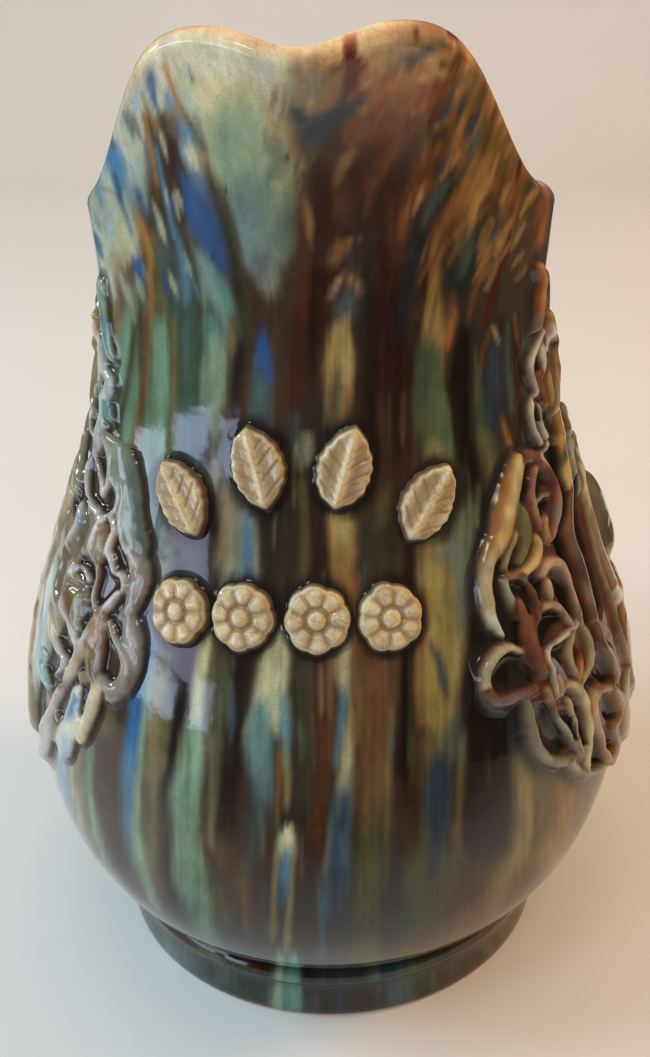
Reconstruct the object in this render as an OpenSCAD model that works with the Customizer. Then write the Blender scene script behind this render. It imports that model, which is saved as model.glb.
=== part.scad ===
// Glazed earthenware jug with a tall pulled spout, a turned foot ring,
// a strap handle, applied leaf reliefs on both sides and applied pads on the front.
// Millimetres, +Z up. The origin is on the throwing axis, on the plane the foot stands on.
// The spout points along -Y and the handle along +Y.

/* [Body] */
// Largest outer radius of the belly
belly_r = 63; // [55:0.5:70]
// Height of the largest radius
belly_z = 54; // [48:1:60]
// Smallest outer radius, at the neck
neck_r = 41.8; // [36:0.2:48]
// Height of the smallest radius
neck_z = 140; // [132:1:142]
// Wall thickness of the body
wall = 5; // [4:0.25:6.5]
// Height of the inside of the floor
floor_top = 12; // [10:0.5:14]

/* [Rim and spout] */
// Height of the rim at the back
rim_back_z = 158.5; // [154:0.5:164]
// How far the two peaks beside the spout rise above the back of the rim
spout_rise = 32.5; // [24:0.5:38]
// How far the pouring edge dips between the two peaks
lip_dip = 3.6; // [1:0.2:6]
// Rim radius at the back and sides
rim_r = 42.5; // [41:0.25:46]
// How far the pouring edge is pulled forward
spout_pull = 14.5; // [8:0.5:18]
// Thickness of the rounded rim
rim_t = 4.6; // [3.8:0.2:5.2]

/* [Foot ring] */
// Outer radius of the foot ring
foot_r = 47.5; // [46:0.25:49]
// Inner radius of the foot ring
foot_bore_r = 38.5; // [36:0.5:41]
// How far the bead at the top of the foot stands out
bead = 0.7; // [0:0.1:1.2]

/* [Handle] */
// Strap width at the top
strap_w_top = 24; // [18:1:28]
// Strap width at the bottom
strap_w_low = 18; // [14:1:24]
// Strap thickness
strap_t = 9; // [7:0.5:11]

/* [Applied reliefs] */
// Thickness of the leaf slabs on the sides
leaf_t = 2.2; // [1.6:0.1:3]
// Height of the scrolled ribs on the leaf slabs
rib_t = 3.6; // [3:0.1:4.6]
// Height of the oval boss in the middle of the right side
boss_t = 5; // [4:0.1:6]
// Height of the lower oval boss in the middle of the left side
left_boss_t = 2.8; // [2:0.1:4]
// Thickness of the pads on the front
pad_t = 2.2; // [1.6:0.1:3]

/* [Hidden] */
$fn = 96;

// Heights of the belly's joint with the foot and of the top of the turned wall
join_z = 14;
join_r = 47;
collar_z = 146;
step_z = 3;

// Outer radius of the turned wall at a height
function low_r(z) = let (u = (belly_z - z) / (belly_z - join_z))
    belly_r - (belly_r - join_r) * (0.85 * pow(u, 2.3) + 0.15 * pow(u, 12));
function high_r(z) = let (t = (z - belly_z) / (neck_z - belly_z))
    neck_r + (belly_r - neck_r) * (0.5 + 0.5 * cos(180 * pow(t, 0.95)));
function wall_r(z) = z <= belly_z ? low_r(z)
    : z <= neck_z ? high_r(z) : neck_r + 0.0022 * pow(z - neck_z, 2);

// Outer profile points from the joint with the foot to the collar
function outer_pts(z0, z1) = [for (z = [z0 : step_z : z1]) [wall_r(z), z]];
under_pts = [[35, 5], [40, 6.2], [44, 9.4]];

// Rim height and radius at an angle from the spout, in degrees
function rim_z(a) = let (b = abs(a))
    rim_back_z + spout_rise / (1 + pow(b / 44, 4.5)) - lip_dip * exp(-pow(b / 9, 2));
function rim_rad(a) = rim_r + spout_pull * exp(-pow(a / 32, 2));

// The turned wall without the collar, filled
module core() {
    rotate_extrude()
        polygon(concat([[0, 5]], under_pts, outer_pts(join_z, collar_z), [[0, collar_z]]));
}

// A skin of thickness t on the turned wall between two heights on the profile's grid
module skin(z0, z1, t) {
    a = outer_pts(z0, z1);
    n = len(a) - 1;
    rotate_extrude()
        polygon(concat(a, [for (i = [n : -1 : 0]) [a[i][0] + t, a[i][1]]]));
}

// Collar: the top of the neck, with the rim and the spout
cols = 72;
rows_out = 7;
rows_rim = 4;
rows_in = 6;
collar_low = 143;
function collar_out(a, t) = let (zr = rim_z(a) - rim_t / 2, z = collar_low + (zr - collar_low) * t)
    [wall_r(min(z, collar_z)) - 0.25 + (rim_rad(a) - neck_r + 0.1) * pow(t, 2), z];
function collar_in(a, t) = let (o = collar_out(a, t))
    [o[0] - (wall - 0.5) - (rim_t - wall + 0.5) * t, o[1]];
function collar_rim(a, q) = let (o = collar_out(a, 1))
    [o[0] - rim_t / 2 + rim_t / 2 * cos(q), o[1] + rim_t / 2 * sin(q)];
function collar_col(a) = concat(
    [for (i = [0 : rows_out]) collar_out(a, i / rows_out)],
    [for (i = [1 : rows_rim - 1]) collar_rim(a, 180 * i / rows_rim)],
    [for (i = [rows_in : -1 : 0]) collar_in(a, i / rows_in)]);
module collar() {
    m = rows_out + 1 + rows_rim - 1 + rows_in + 1;
    pts = [for (j = [0 : cols - 1]) let (a = -180 + 360 * j / cols)
        for (p = collar_col(a)) [p[0] * sin(a), -p[0] * cos(a), p[1]]];
    faces = [for (j = [0 : cols - 1]) let (k = (j + 1) % cols)
        for (i = [0 : m - 1]) let (n = (i + 1) % m)
            for (f = [[j * m + i, j * m + n, k * m + n], [j * m + i, k * m + n, k * m + i]]) f];
    polyhedron(pts, faces);
}

module jug_body() {
    color([0.33, 0.30, 0.22]) union() {
        rotate_extrude()
            polygon(concat(
                [[0, 5]], under_pts, outer_pts(join_z, collar_z),
                [for (z = [collar_z : -6 : 26]) [wall_r(z) - wall, z]],
                [[wall_r(20) - wall - 1, 20], [38, floor_top + 1.6], [30, floor_top], [0, floor_top]]));
        collar();
    }
}

module foot_ring() {
    color([0.18, 0.22, 0.20])
        rotate_extrude()
            polygon([[foot_bore_r + 1, 0], [foot_r - 1.2, 0], [foot_r, 1.2], [foot_r, 9.2],
                     [foot_r + bead, 10], [foot_r + bead, 12.2], [join_r, join_z], [44, 9.4], [40, 6.2],
                     [foot_bore_r, 5 + 1.2 * (foot_bore_r - 35) / 5], [foot_bore_r, 1]]);
}

// Strap handle: one section swept along a curve in the plane of the spout
strap_path = [[36, 134], [47, 142], [61, 147], [75, 144], [85, 133], [88, 117], [86, 101], [79, 86], [69, 75], [54, 68]];
function cr(p0, p1, p2, p3, t) = 0.5 * (2 * p1 + (p2 - p0) * t
    + (2 * p0 - 5 * p1 + 4 * p2 - p3) * t * t + (3 * p1 - p0 - 3 * p2 + p3) * t * t * t);
function at(i) = strap_path[min(max(i, 0), len(strap_path) - 1)];
strap_sub = 3;
strap_line = concat([for (i = [0 : len(strap_path) - 2], s = [0 : strap_sub - 1])
    cr(at(i - 1), at(i), at(i + 1), at(i + 2), s / strap_sub)], [at(len(strap_path) - 1)]);
strap_sides = 16;
module handle() {
    n = len(strap_line);
    function tan_at(i) = let (d = strap_line[min(i + 1, n - 1)] - strap_line[max(i - 1, 0)]) d / norm(d);
    pts = [for (i = [0 : n - 1]) let (
            t = tan_at(i), q = i / (n - 1), p = strap_line[i],
            w = strap_w_top + (strap_w_low - strap_w_top) * q,
            e = abs(2 * q - 1), g = 1 + 0.22 * pow(e, 4))
        for (k = [0 : strap_sides - 1]) let (
            a = 360 * (k + 0.5) / strap_sides, c = cos(a), s = sin(a),
            x = w / 2 * g * sign(c) * pow(abs(c), 0.7),
            h = strap_t / 2 * g * sign(s) * pow(abs(s), 0.8))
            [x, p[0] - h * t[1], p[1] + h * t[0]]];
    sides = [for (i = [0 : n - 2], k = [0 : strap_sides - 1]) let (
            a = i * strap_sides + k, b = i * strap_sides + (k + 1) % strap_sides)
        for (f = [[a, b, b + strap_sides], [a, b + strap_sides, a + strap_sides]]) f];
    caps = [for (k = [1 : strap_sides - 2]) for (f = [[0, k + 1, k],
        [(n - 1) * strap_sides, (n - 1) * strap_sides + k, (n - 1) * strap_sides + k + 1]]) f];
    color([0.30, 0.26, 0.18])
        difference() {
            polyhedron(pts, concat(sides, caps));
            core();
        }
}

// A flat outline in (y, z) pushed out along +X through the right-hand wall
module through_right() {
    translate([6, 0, 0]) rotate([90, 0, 90]) linear_extrude(72) children();
}

// Lobes of the side leaf: centre y, centre z, radius
lobes = [[-14, 107, 9.5], [-27, 102, 12.5], [-30, 89, 12.5], [-40, 78, 8.8], [-36, 64, 11.2], [-20, 57, 10.4]];
// Loops of the scrolled ribs: centre y, centre z, outer radius, inner radius
loops = [[-27, 102, 11, 8.2], [-30, 87, 10.5, 7.7], [-40, 78, 7.6, 5], [-35, 64, 9.6, 6.8], [-19, 58, 9, 6.2]];

module leaf_outline() {
    for (s = [-1, 1], l = lobes) translate([s * -l[0], l[1]]) circle(l[2]);
    polygon([[-28, 108], [28, 108], [38, 84], [34, 60], [16, 49], [-16, 49], [-34, 60], [-38, 84]]);
}
module leaf_ribs() {
    for (s = [-1, 1], l = loops) translate([s * -l[0], l[1]]) difference() {
        circle(l[2]);
        circle(l[3]);
    }
}
module boss_window() {
    for (z = [91, 93, 95]) translate([0, z]) circle(9.2);
}

module right_leaf_cartouche() {
    color([0.45, 0.36, 0.26]) difference() {
        union() {
            intersection() {
                skin(44, 119, leaf_t);
                through_right() leaf_outline();
            }
            intersection() {
                skin(44, 119, rib_t);
                through_right() leaf_ribs();
            }
        }
        through_right() boss_window();
    }
}

// Palmette outline of the upper spray, drawn round its own centre
spray_z = 130;
function spray_rho(a) = let (w = 0.5 - 0.5 * sin(a))
    (17 - 4.5 * w + 7.5 * pow(abs(cos(a)), 1.5) * (0.35 + 0.65 * w)) * (0.94 + 0.06 * cos(9 * (a - 90)))
    - 3.2 * pow(max(-sin(a), 0), 3);
spray_pts = [for (a = [0 : 7.5 : 352.5]) [1.2 * spray_rho(a) * cos(a), spray_z + spray_rho(a) * sin(a)]];
module right_upper_spray() {
    color([0.42, 0.36, 0.28]) intersection() {
        skin(116, 146, leaf_t + 0.8);
        through_right() polygon(spray_pts);
    }
}

module oval_boss(t) {
    color([0.36, 0.31, 0.20]) intersection() {
        skin(80, 122, t);
        through_right() for (z = [91, 93, 95]) translate([0, z]) circle(9);
    }
}

// A front pad: a flat outline pushed out through the front wall at an angle and a height
module pad(a, z, turn) {
    color([0.80, 0.70, 0.52]) intersection() {
        skin(80, 140, pad_t);
        rotate([0, 0, a]) translate([0, -20, z]) rotate([90, 0, 0]) linear_extrude(45) rotate(turn) children();
    }
}

// Pointed leaf of the upper arc, and round button of the lower row
module pointed_leaf(l, w) {
    r = (l * l / 4 + w * w / 4) / w;
    intersection() {
        translate([r - w / 2, 0]) circle(r);
        translate([w / 2 - r, 0]) circle(r);
    }
}
module round_button(r) { circle(r); }

jug_body();
foot_ring();
handle();
right_leaf_cartouche();
right_upper_spray();
oval_boss(boss_t);  // right_oval_boss
mirror([1, 0, 0]) right_leaf_cartouche();  // left_leaf_cartouche
mirror([1, 0, 0]) right_upper_spray();  // left_upper_spray
mirror([1, 0, 0]) oval_boss(left_boss_t);  // left_oval_boss
pad(-29, 115, 38) pointed_leaf(14.4, 9.4);  // arc_pad_1
pad(-11.5, 122, 16) pointed_leaf(14.4, 9.4);  // arc_pad_2
pad(7, 122, -16) pointed_leaf(14.4, 9.4);  // arc_pad_3
pad(24.5, 115, -38) pointed_leaf(14.4, 9.4);  // arc_pad_4
pad(-26, 96.5, 0) round_button(5.6);  // row_pad_1
pad(-13, 97.5, 0) round_button(5.6);  // row_pad_2
pad(1, 97.8, 0) round_button(5.6);  // row_pad_3
pad(14.5, 97.5, 0) round_button(5.6);  // row_pad_4
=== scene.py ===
import math

import bmesh
import bpy
import numpy as np
from mathutils import Matrix, Vector


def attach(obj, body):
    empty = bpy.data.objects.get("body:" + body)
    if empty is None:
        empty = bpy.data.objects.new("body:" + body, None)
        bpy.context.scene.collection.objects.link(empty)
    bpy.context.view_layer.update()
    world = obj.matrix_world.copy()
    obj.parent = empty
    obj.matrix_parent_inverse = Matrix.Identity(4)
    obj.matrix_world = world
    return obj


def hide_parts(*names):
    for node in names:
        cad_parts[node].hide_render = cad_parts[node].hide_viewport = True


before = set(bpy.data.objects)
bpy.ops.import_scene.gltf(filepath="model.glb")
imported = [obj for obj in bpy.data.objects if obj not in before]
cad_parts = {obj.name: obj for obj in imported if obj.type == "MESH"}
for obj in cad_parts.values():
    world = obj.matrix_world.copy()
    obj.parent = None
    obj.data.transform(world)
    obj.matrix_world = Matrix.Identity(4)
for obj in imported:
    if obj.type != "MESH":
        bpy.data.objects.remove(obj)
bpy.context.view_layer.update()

MM = 0.001

# ----------------------------------------------------------------------------------------------------------------------
# The jug's own surface, in millimetres. An angle is measured from the spout, and is positive towards +X.

BELLY_R, BELLY_Z = 63.0, 54.0
NECK_R, NECK_Z = 41.8, 140.0
JOIN_R, JOIN_Z = 47.0, 14.0
WALL, RIM_T = 5.0, 4.6


def smooth(a, b, x):
    t = np.clip((x - a) / (b - a), 0.0, 1.0)
    return t * t * (3 - 2 * t)


def wrap_deg(a):
    return (np.asarray(a, float) + 180.0) % 360.0 - 180.0


def rim_z(a):
    b = np.abs(wrap_deg(a))
    return 158.5 + 32.5 / (1 + (b / 44.0) ** 4.5) - 3.6 * np.exp(-((b / 9.0) ** 2))


def rim_r(a):
    return 42.5 + 14.5 * np.exp(-((wrap_deg(a) / 32.0) ** 2))


def turned_r(z):
    u = np.clip((BELLY_Z - z) / (BELLY_Z - JOIN_Z), 0, 1)
    low = BELLY_R - (BELLY_R - JOIN_R) * (0.85 * u**2.3 + 0.15 * u**12)
    t = np.clip((z - BELLY_Z) / (NECK_Z - BELLY_Z), 0, 1)
    high = NECK_R + (BELLY_R - NECK_R) * (0.5 + 0.5 * np.cos(np.pi * t**0.95))
    return np.where(z < BELLY_Z, low, high)


def wall_r(a, z):
    a, z = np.broadcast_arrays(np.asarray(a, float), np.asarray(z, float))
    t = np.clip((z - NECK_Z) / (rim_z(a) - RIM_T / 2 - NECK_Z), 0, 1.0)
    return np.where(z > NECK_Z, NECK_R + (rim_r(a) - NECK_R) * t**2.2, turned_r(z))


def polar(a, r, z):
    q = np.radians(a)
    return np.stack(np.broadcast_arrays(r * np.sin(q), -r * np.cos(q), z), -1)


def on_wall(a, z, lift=0.0):
    """A point on the wall, or that far off it along its normal, and that normal."""
    a, z = np.broadcast_arrays(np.asarray(a, float), np.asarray(z, float))
    r = wall_r(a, z)
    slope = (wall_r(a, z + 0.3) - wall_r(a, z - 0.3)) / 0.6
    k = 1 / np.sqrt(1 + slope * slope)
    q = np.radians(a)
    n = np.stack([np.sin(q) * k, -np.cos(q) * k, -slope * k], -1)
    return polar(a, r, z) + n * np.asarray(lift, float)[..., None], n


# ----------------------------------------------------------------------------------------------------------------------
# The camera. Ornament and glaze are drawn in the camera's own view, as points of a 650 by 1057 sheet.

CAM_F, CAM_D, CAM_H = 1200.0, 226.2, 200.3
CAM_PITCH, CAM_ROLL, CAM_AZ, CAM_X0 = math.radians(26.09), math.radians(-0.96), math.radians(3.0), 1.6
SHEET_W, SHEET_H = 650.0, 1057.0
CAM_AT = np.array([CAM_D * math.sin(CAM_AZ), -CAM_D * math.cos(CAM_AZ), CAM_H])


def sheet_of(p):
    ca, sa = math.cos(CAM_AZ), math.sin(CAM_AZ)
    x = p[..., 0] * ca + p[..., 1] * sa
    y = -p[..., 0] * sa + p[..., 1] * ca + CAM_D
    z = p[..., 2] - CAM_H
    c, s = math.cos(CAM_PITCH), math.sin(CAM_PITCH)
    depth = y * c - z * s
    u, v = CAM_F * x / depth, -CAM_F * (y * s + z * c) / depth
    cr, sr = math.cos(CAM_ROLL), math.sin(CAM_ROLL)
    return SHEET_W / 2 + CAM_X0 + u * cr - v * sr, SHEET_H / 2 + u * sr + v * cr


_ga, _gz = np.meshgrid(np.arange(-82.0, 82.1, 0.5), np.arange(16.0, 186.1, 0.5))
_gx, _gy = sheet_of(on_wall(_ga, _gz, np.full(_ga.shape, 2.0))[0])


def wall_under(x, y):
    """The angle and height on the wall, 2 mm off it, that the camera sees at a point of the sheet."""
    k = int(np.argmin((_gx - x) ** 2 + (_gy - y) ** 2))
    a, z = float(_ga.flat[k]), float(_gz.flat[k])
    for _ in range(3):
        aa, zz = np.array([a, a + 0.05, a]), np.array([z, z, z + 0.05])
        px, py = sheet_of(on_wall(aa, zz, np.full(3, 2.0))[0])
        j = np.array([[px[1] - px[0], px[2] - px[0]], [py[1] - py[0], py[2] - py[0]]]) / 0.05
        if abs(np.linalg.det(j)) < 4.0:
            break
        da, dz = np.linalg.solve(j, [x - px[0], y - py[0]])
        if abs(da) > 1.5 or abs(dz) > 1.5:
            break
        a, z = a + da, z + dz
    return a, z


# ----------------------------------------------------------------------------------------------------------------------
# Seeded noise

_rng = np.random.default_rng(41)
_lattice = _rng.random((8, 128, 128))


def noise(x, y, k=0):
    t = _lattice[k]
    xi, yi = np.floor(x).astype(int), np.floor(y).astype(int)
    fx, fy = x - xi, y - yi
    fx, fy = fx * fx * (3 - 2 * fx), fy * fy * (3 - 2 * fy)
    x0, y0, x1, y1 = xi % 128, yi % 128, (xi + 1) % 128, (yi + 1) % 128
    low = t[y0, x0] * (1 - fx) + t[y0, x1] * fx
    high = t[y1, x0] * (1 - fx) + t[y1, x1] * fx
    return (low * (1 - fy) + high * fy) * 2 - 1


# ----------------------------------------------------------------------------------------------------------------------
# Glaze: named colours, and brush strokes of run glaze on the sheet

GLAZE = {
    "peach": (220, 182, 142), "lip": (204, 176, 132), "ear": (196, 192, 172), "pale": (188, 179, 148), "oat": (172, 167, 143), "ivory": (186, 176, 154), "stone": (132, 124, 110), "cream": (176, 164, 124),
    "butter": (158, 138, 98), "sage": (160, 162, 122), "celadon": (130, 147, 122), "pale_teal": (134, 156, 146),
    "teal": (90, 123, 113), "grey_teal": (98, 118, 112), "slate": (72, 84, 82), "steel": (82, 114, 138),
    "sky": (132, 154, 176), "cobalt": (46, 72, 114), "azure": (58, 108, 158), "navy": (47, 56, 68),
    "ink": (39, 41, 41), "olive": (94, 82, 52), "dark_olive": (62, 56, 42), "moss": (98, 123, 97),
    "fern": (82, 88, 60), "pine": (60, 72, 58), "ochre": (146, 112, 60), "gold": (164, 130, 76), "mustard": (140, 122, 72),
    "tan": (132, 98, 62), "orange": (148, 94, 48), "rust": (106, 66, 42), "red_brown": (76, 44, 32), "blood": (72, 30, 21),
    "maroon": (50, 31, 27), "brown": (68, 51, 39), "dark": (52, 43, 36), "black": (38, 30, 26), "soot": (29, 23, 20),
    "mauve": (110, 104, 108), "dun": (116, 104, 80), "ash": (124, 116, 92), "clay": (150, 118, 86),
    "rose": (140, 92, 68), "umber": (94, 62, 44), "khaki": (130, 112, 78), "bone": (160, 142, 112), "silver": (160, 162, 154), "lilac": (164, 156, 148),
    "lichen": (112, 118, 100), "taupe": (128, 110, 84), "sepia": (100, 74, 48),
}

# colour, strength, softness, then x, y and width of each point
BASE = [
    ("brown", 1.0, 30, 325, 0, 900, 325, 1057, 900),
    ("oat", 1.0, 14, 190, 30, 80, 150, 80, 70, 120, 150, 60, 112, 215, 46, 104, 280, 30),
    ("ear", 0.5, 12, 180, 40, 60, 150, 75, 40),
    ("tan", 1.0, 16, 420, 40, 70, 470, 90, 70, 495, 140, 60),
    ("sepia", 1.0, 16, 440, 120, 110, 480, 180, 90, 495, 240, 70),
    ("dark", 0.9, 14, 490, 275, 70, 490, 330, 70, 480, 420, 60),
    ("dun", 1.0, 12, 300, 80, 90, 350, 75, 60, 400, 62, 50),
    ("rust", 1.0, 14, 400, 105, 60, 380, 135, 60, 362, 165, 50),
    ("red_brown", 0.9, 14, 386, 168, 60, 370, 190, 66, 352, 220, 66),
    ("maroon", 0.9, 14, 340, 200, 60, 330, 260, 40, 318, 330, 40, 310, 430, 36),
    ("maroon", 0.9, 12, 384, 190, 40, 384, 260, 44, 388, 340, 44, 390, 430, 40),
    ("black", 0.8, 12, 375, 300, 20, 372, 380, 26, 372, 440, 26),
    ("dark", 0.9, 14, 320, 430, 60, 320, 520, 60, 310, 590, 50),
    ("fern", 0.9, 10, 436, 370, 40, 438, 420, 44, 448, 470, 44, 456, 520, 40),
    ("dark", 0.9, 14, 480, 330, 60, 490, 420, 50),
    ("pine", 0.9, 14, 180, 300, 60, 185, 380, 60, 180, 440, 60),
    ("moss", 0.8, 10, 130, 330, 40, 124, 400, 40, 140, 450, 30),
    ("fern", 0.9, 10, 160, 440, 40, 162, 500, 36, 166, 550, 30),
    ("dark", 0.9, 16, 205, 560, 70, 195, 660, 60, 170, 800, 60),
    ("dark", 0.9, 18, 290, 600, 120, 300, 760, 120, 300, 900, 110),
    ("sepia", 0.7, 14, 375, 650, 40, 375, 760, 40),
    ("black", 0.9, 14, 490, 650, 50, 490, 740, 56, 490, 830, 56, 484, 870, 50),
    ("olive", 0.8, 14, 545, 790, 50, 530, 850, 50, 470, 900, 60),
    ("dun", 0.8, 14, 75, 740, 50, 100, 800, 50, 125, 870, 50),
    ("brown", 0.8, 12, 110, 770, 44, 108, 820, 44, 130, 880, 40, 200, 930, 40, 280, 950, 40),
]

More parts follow.
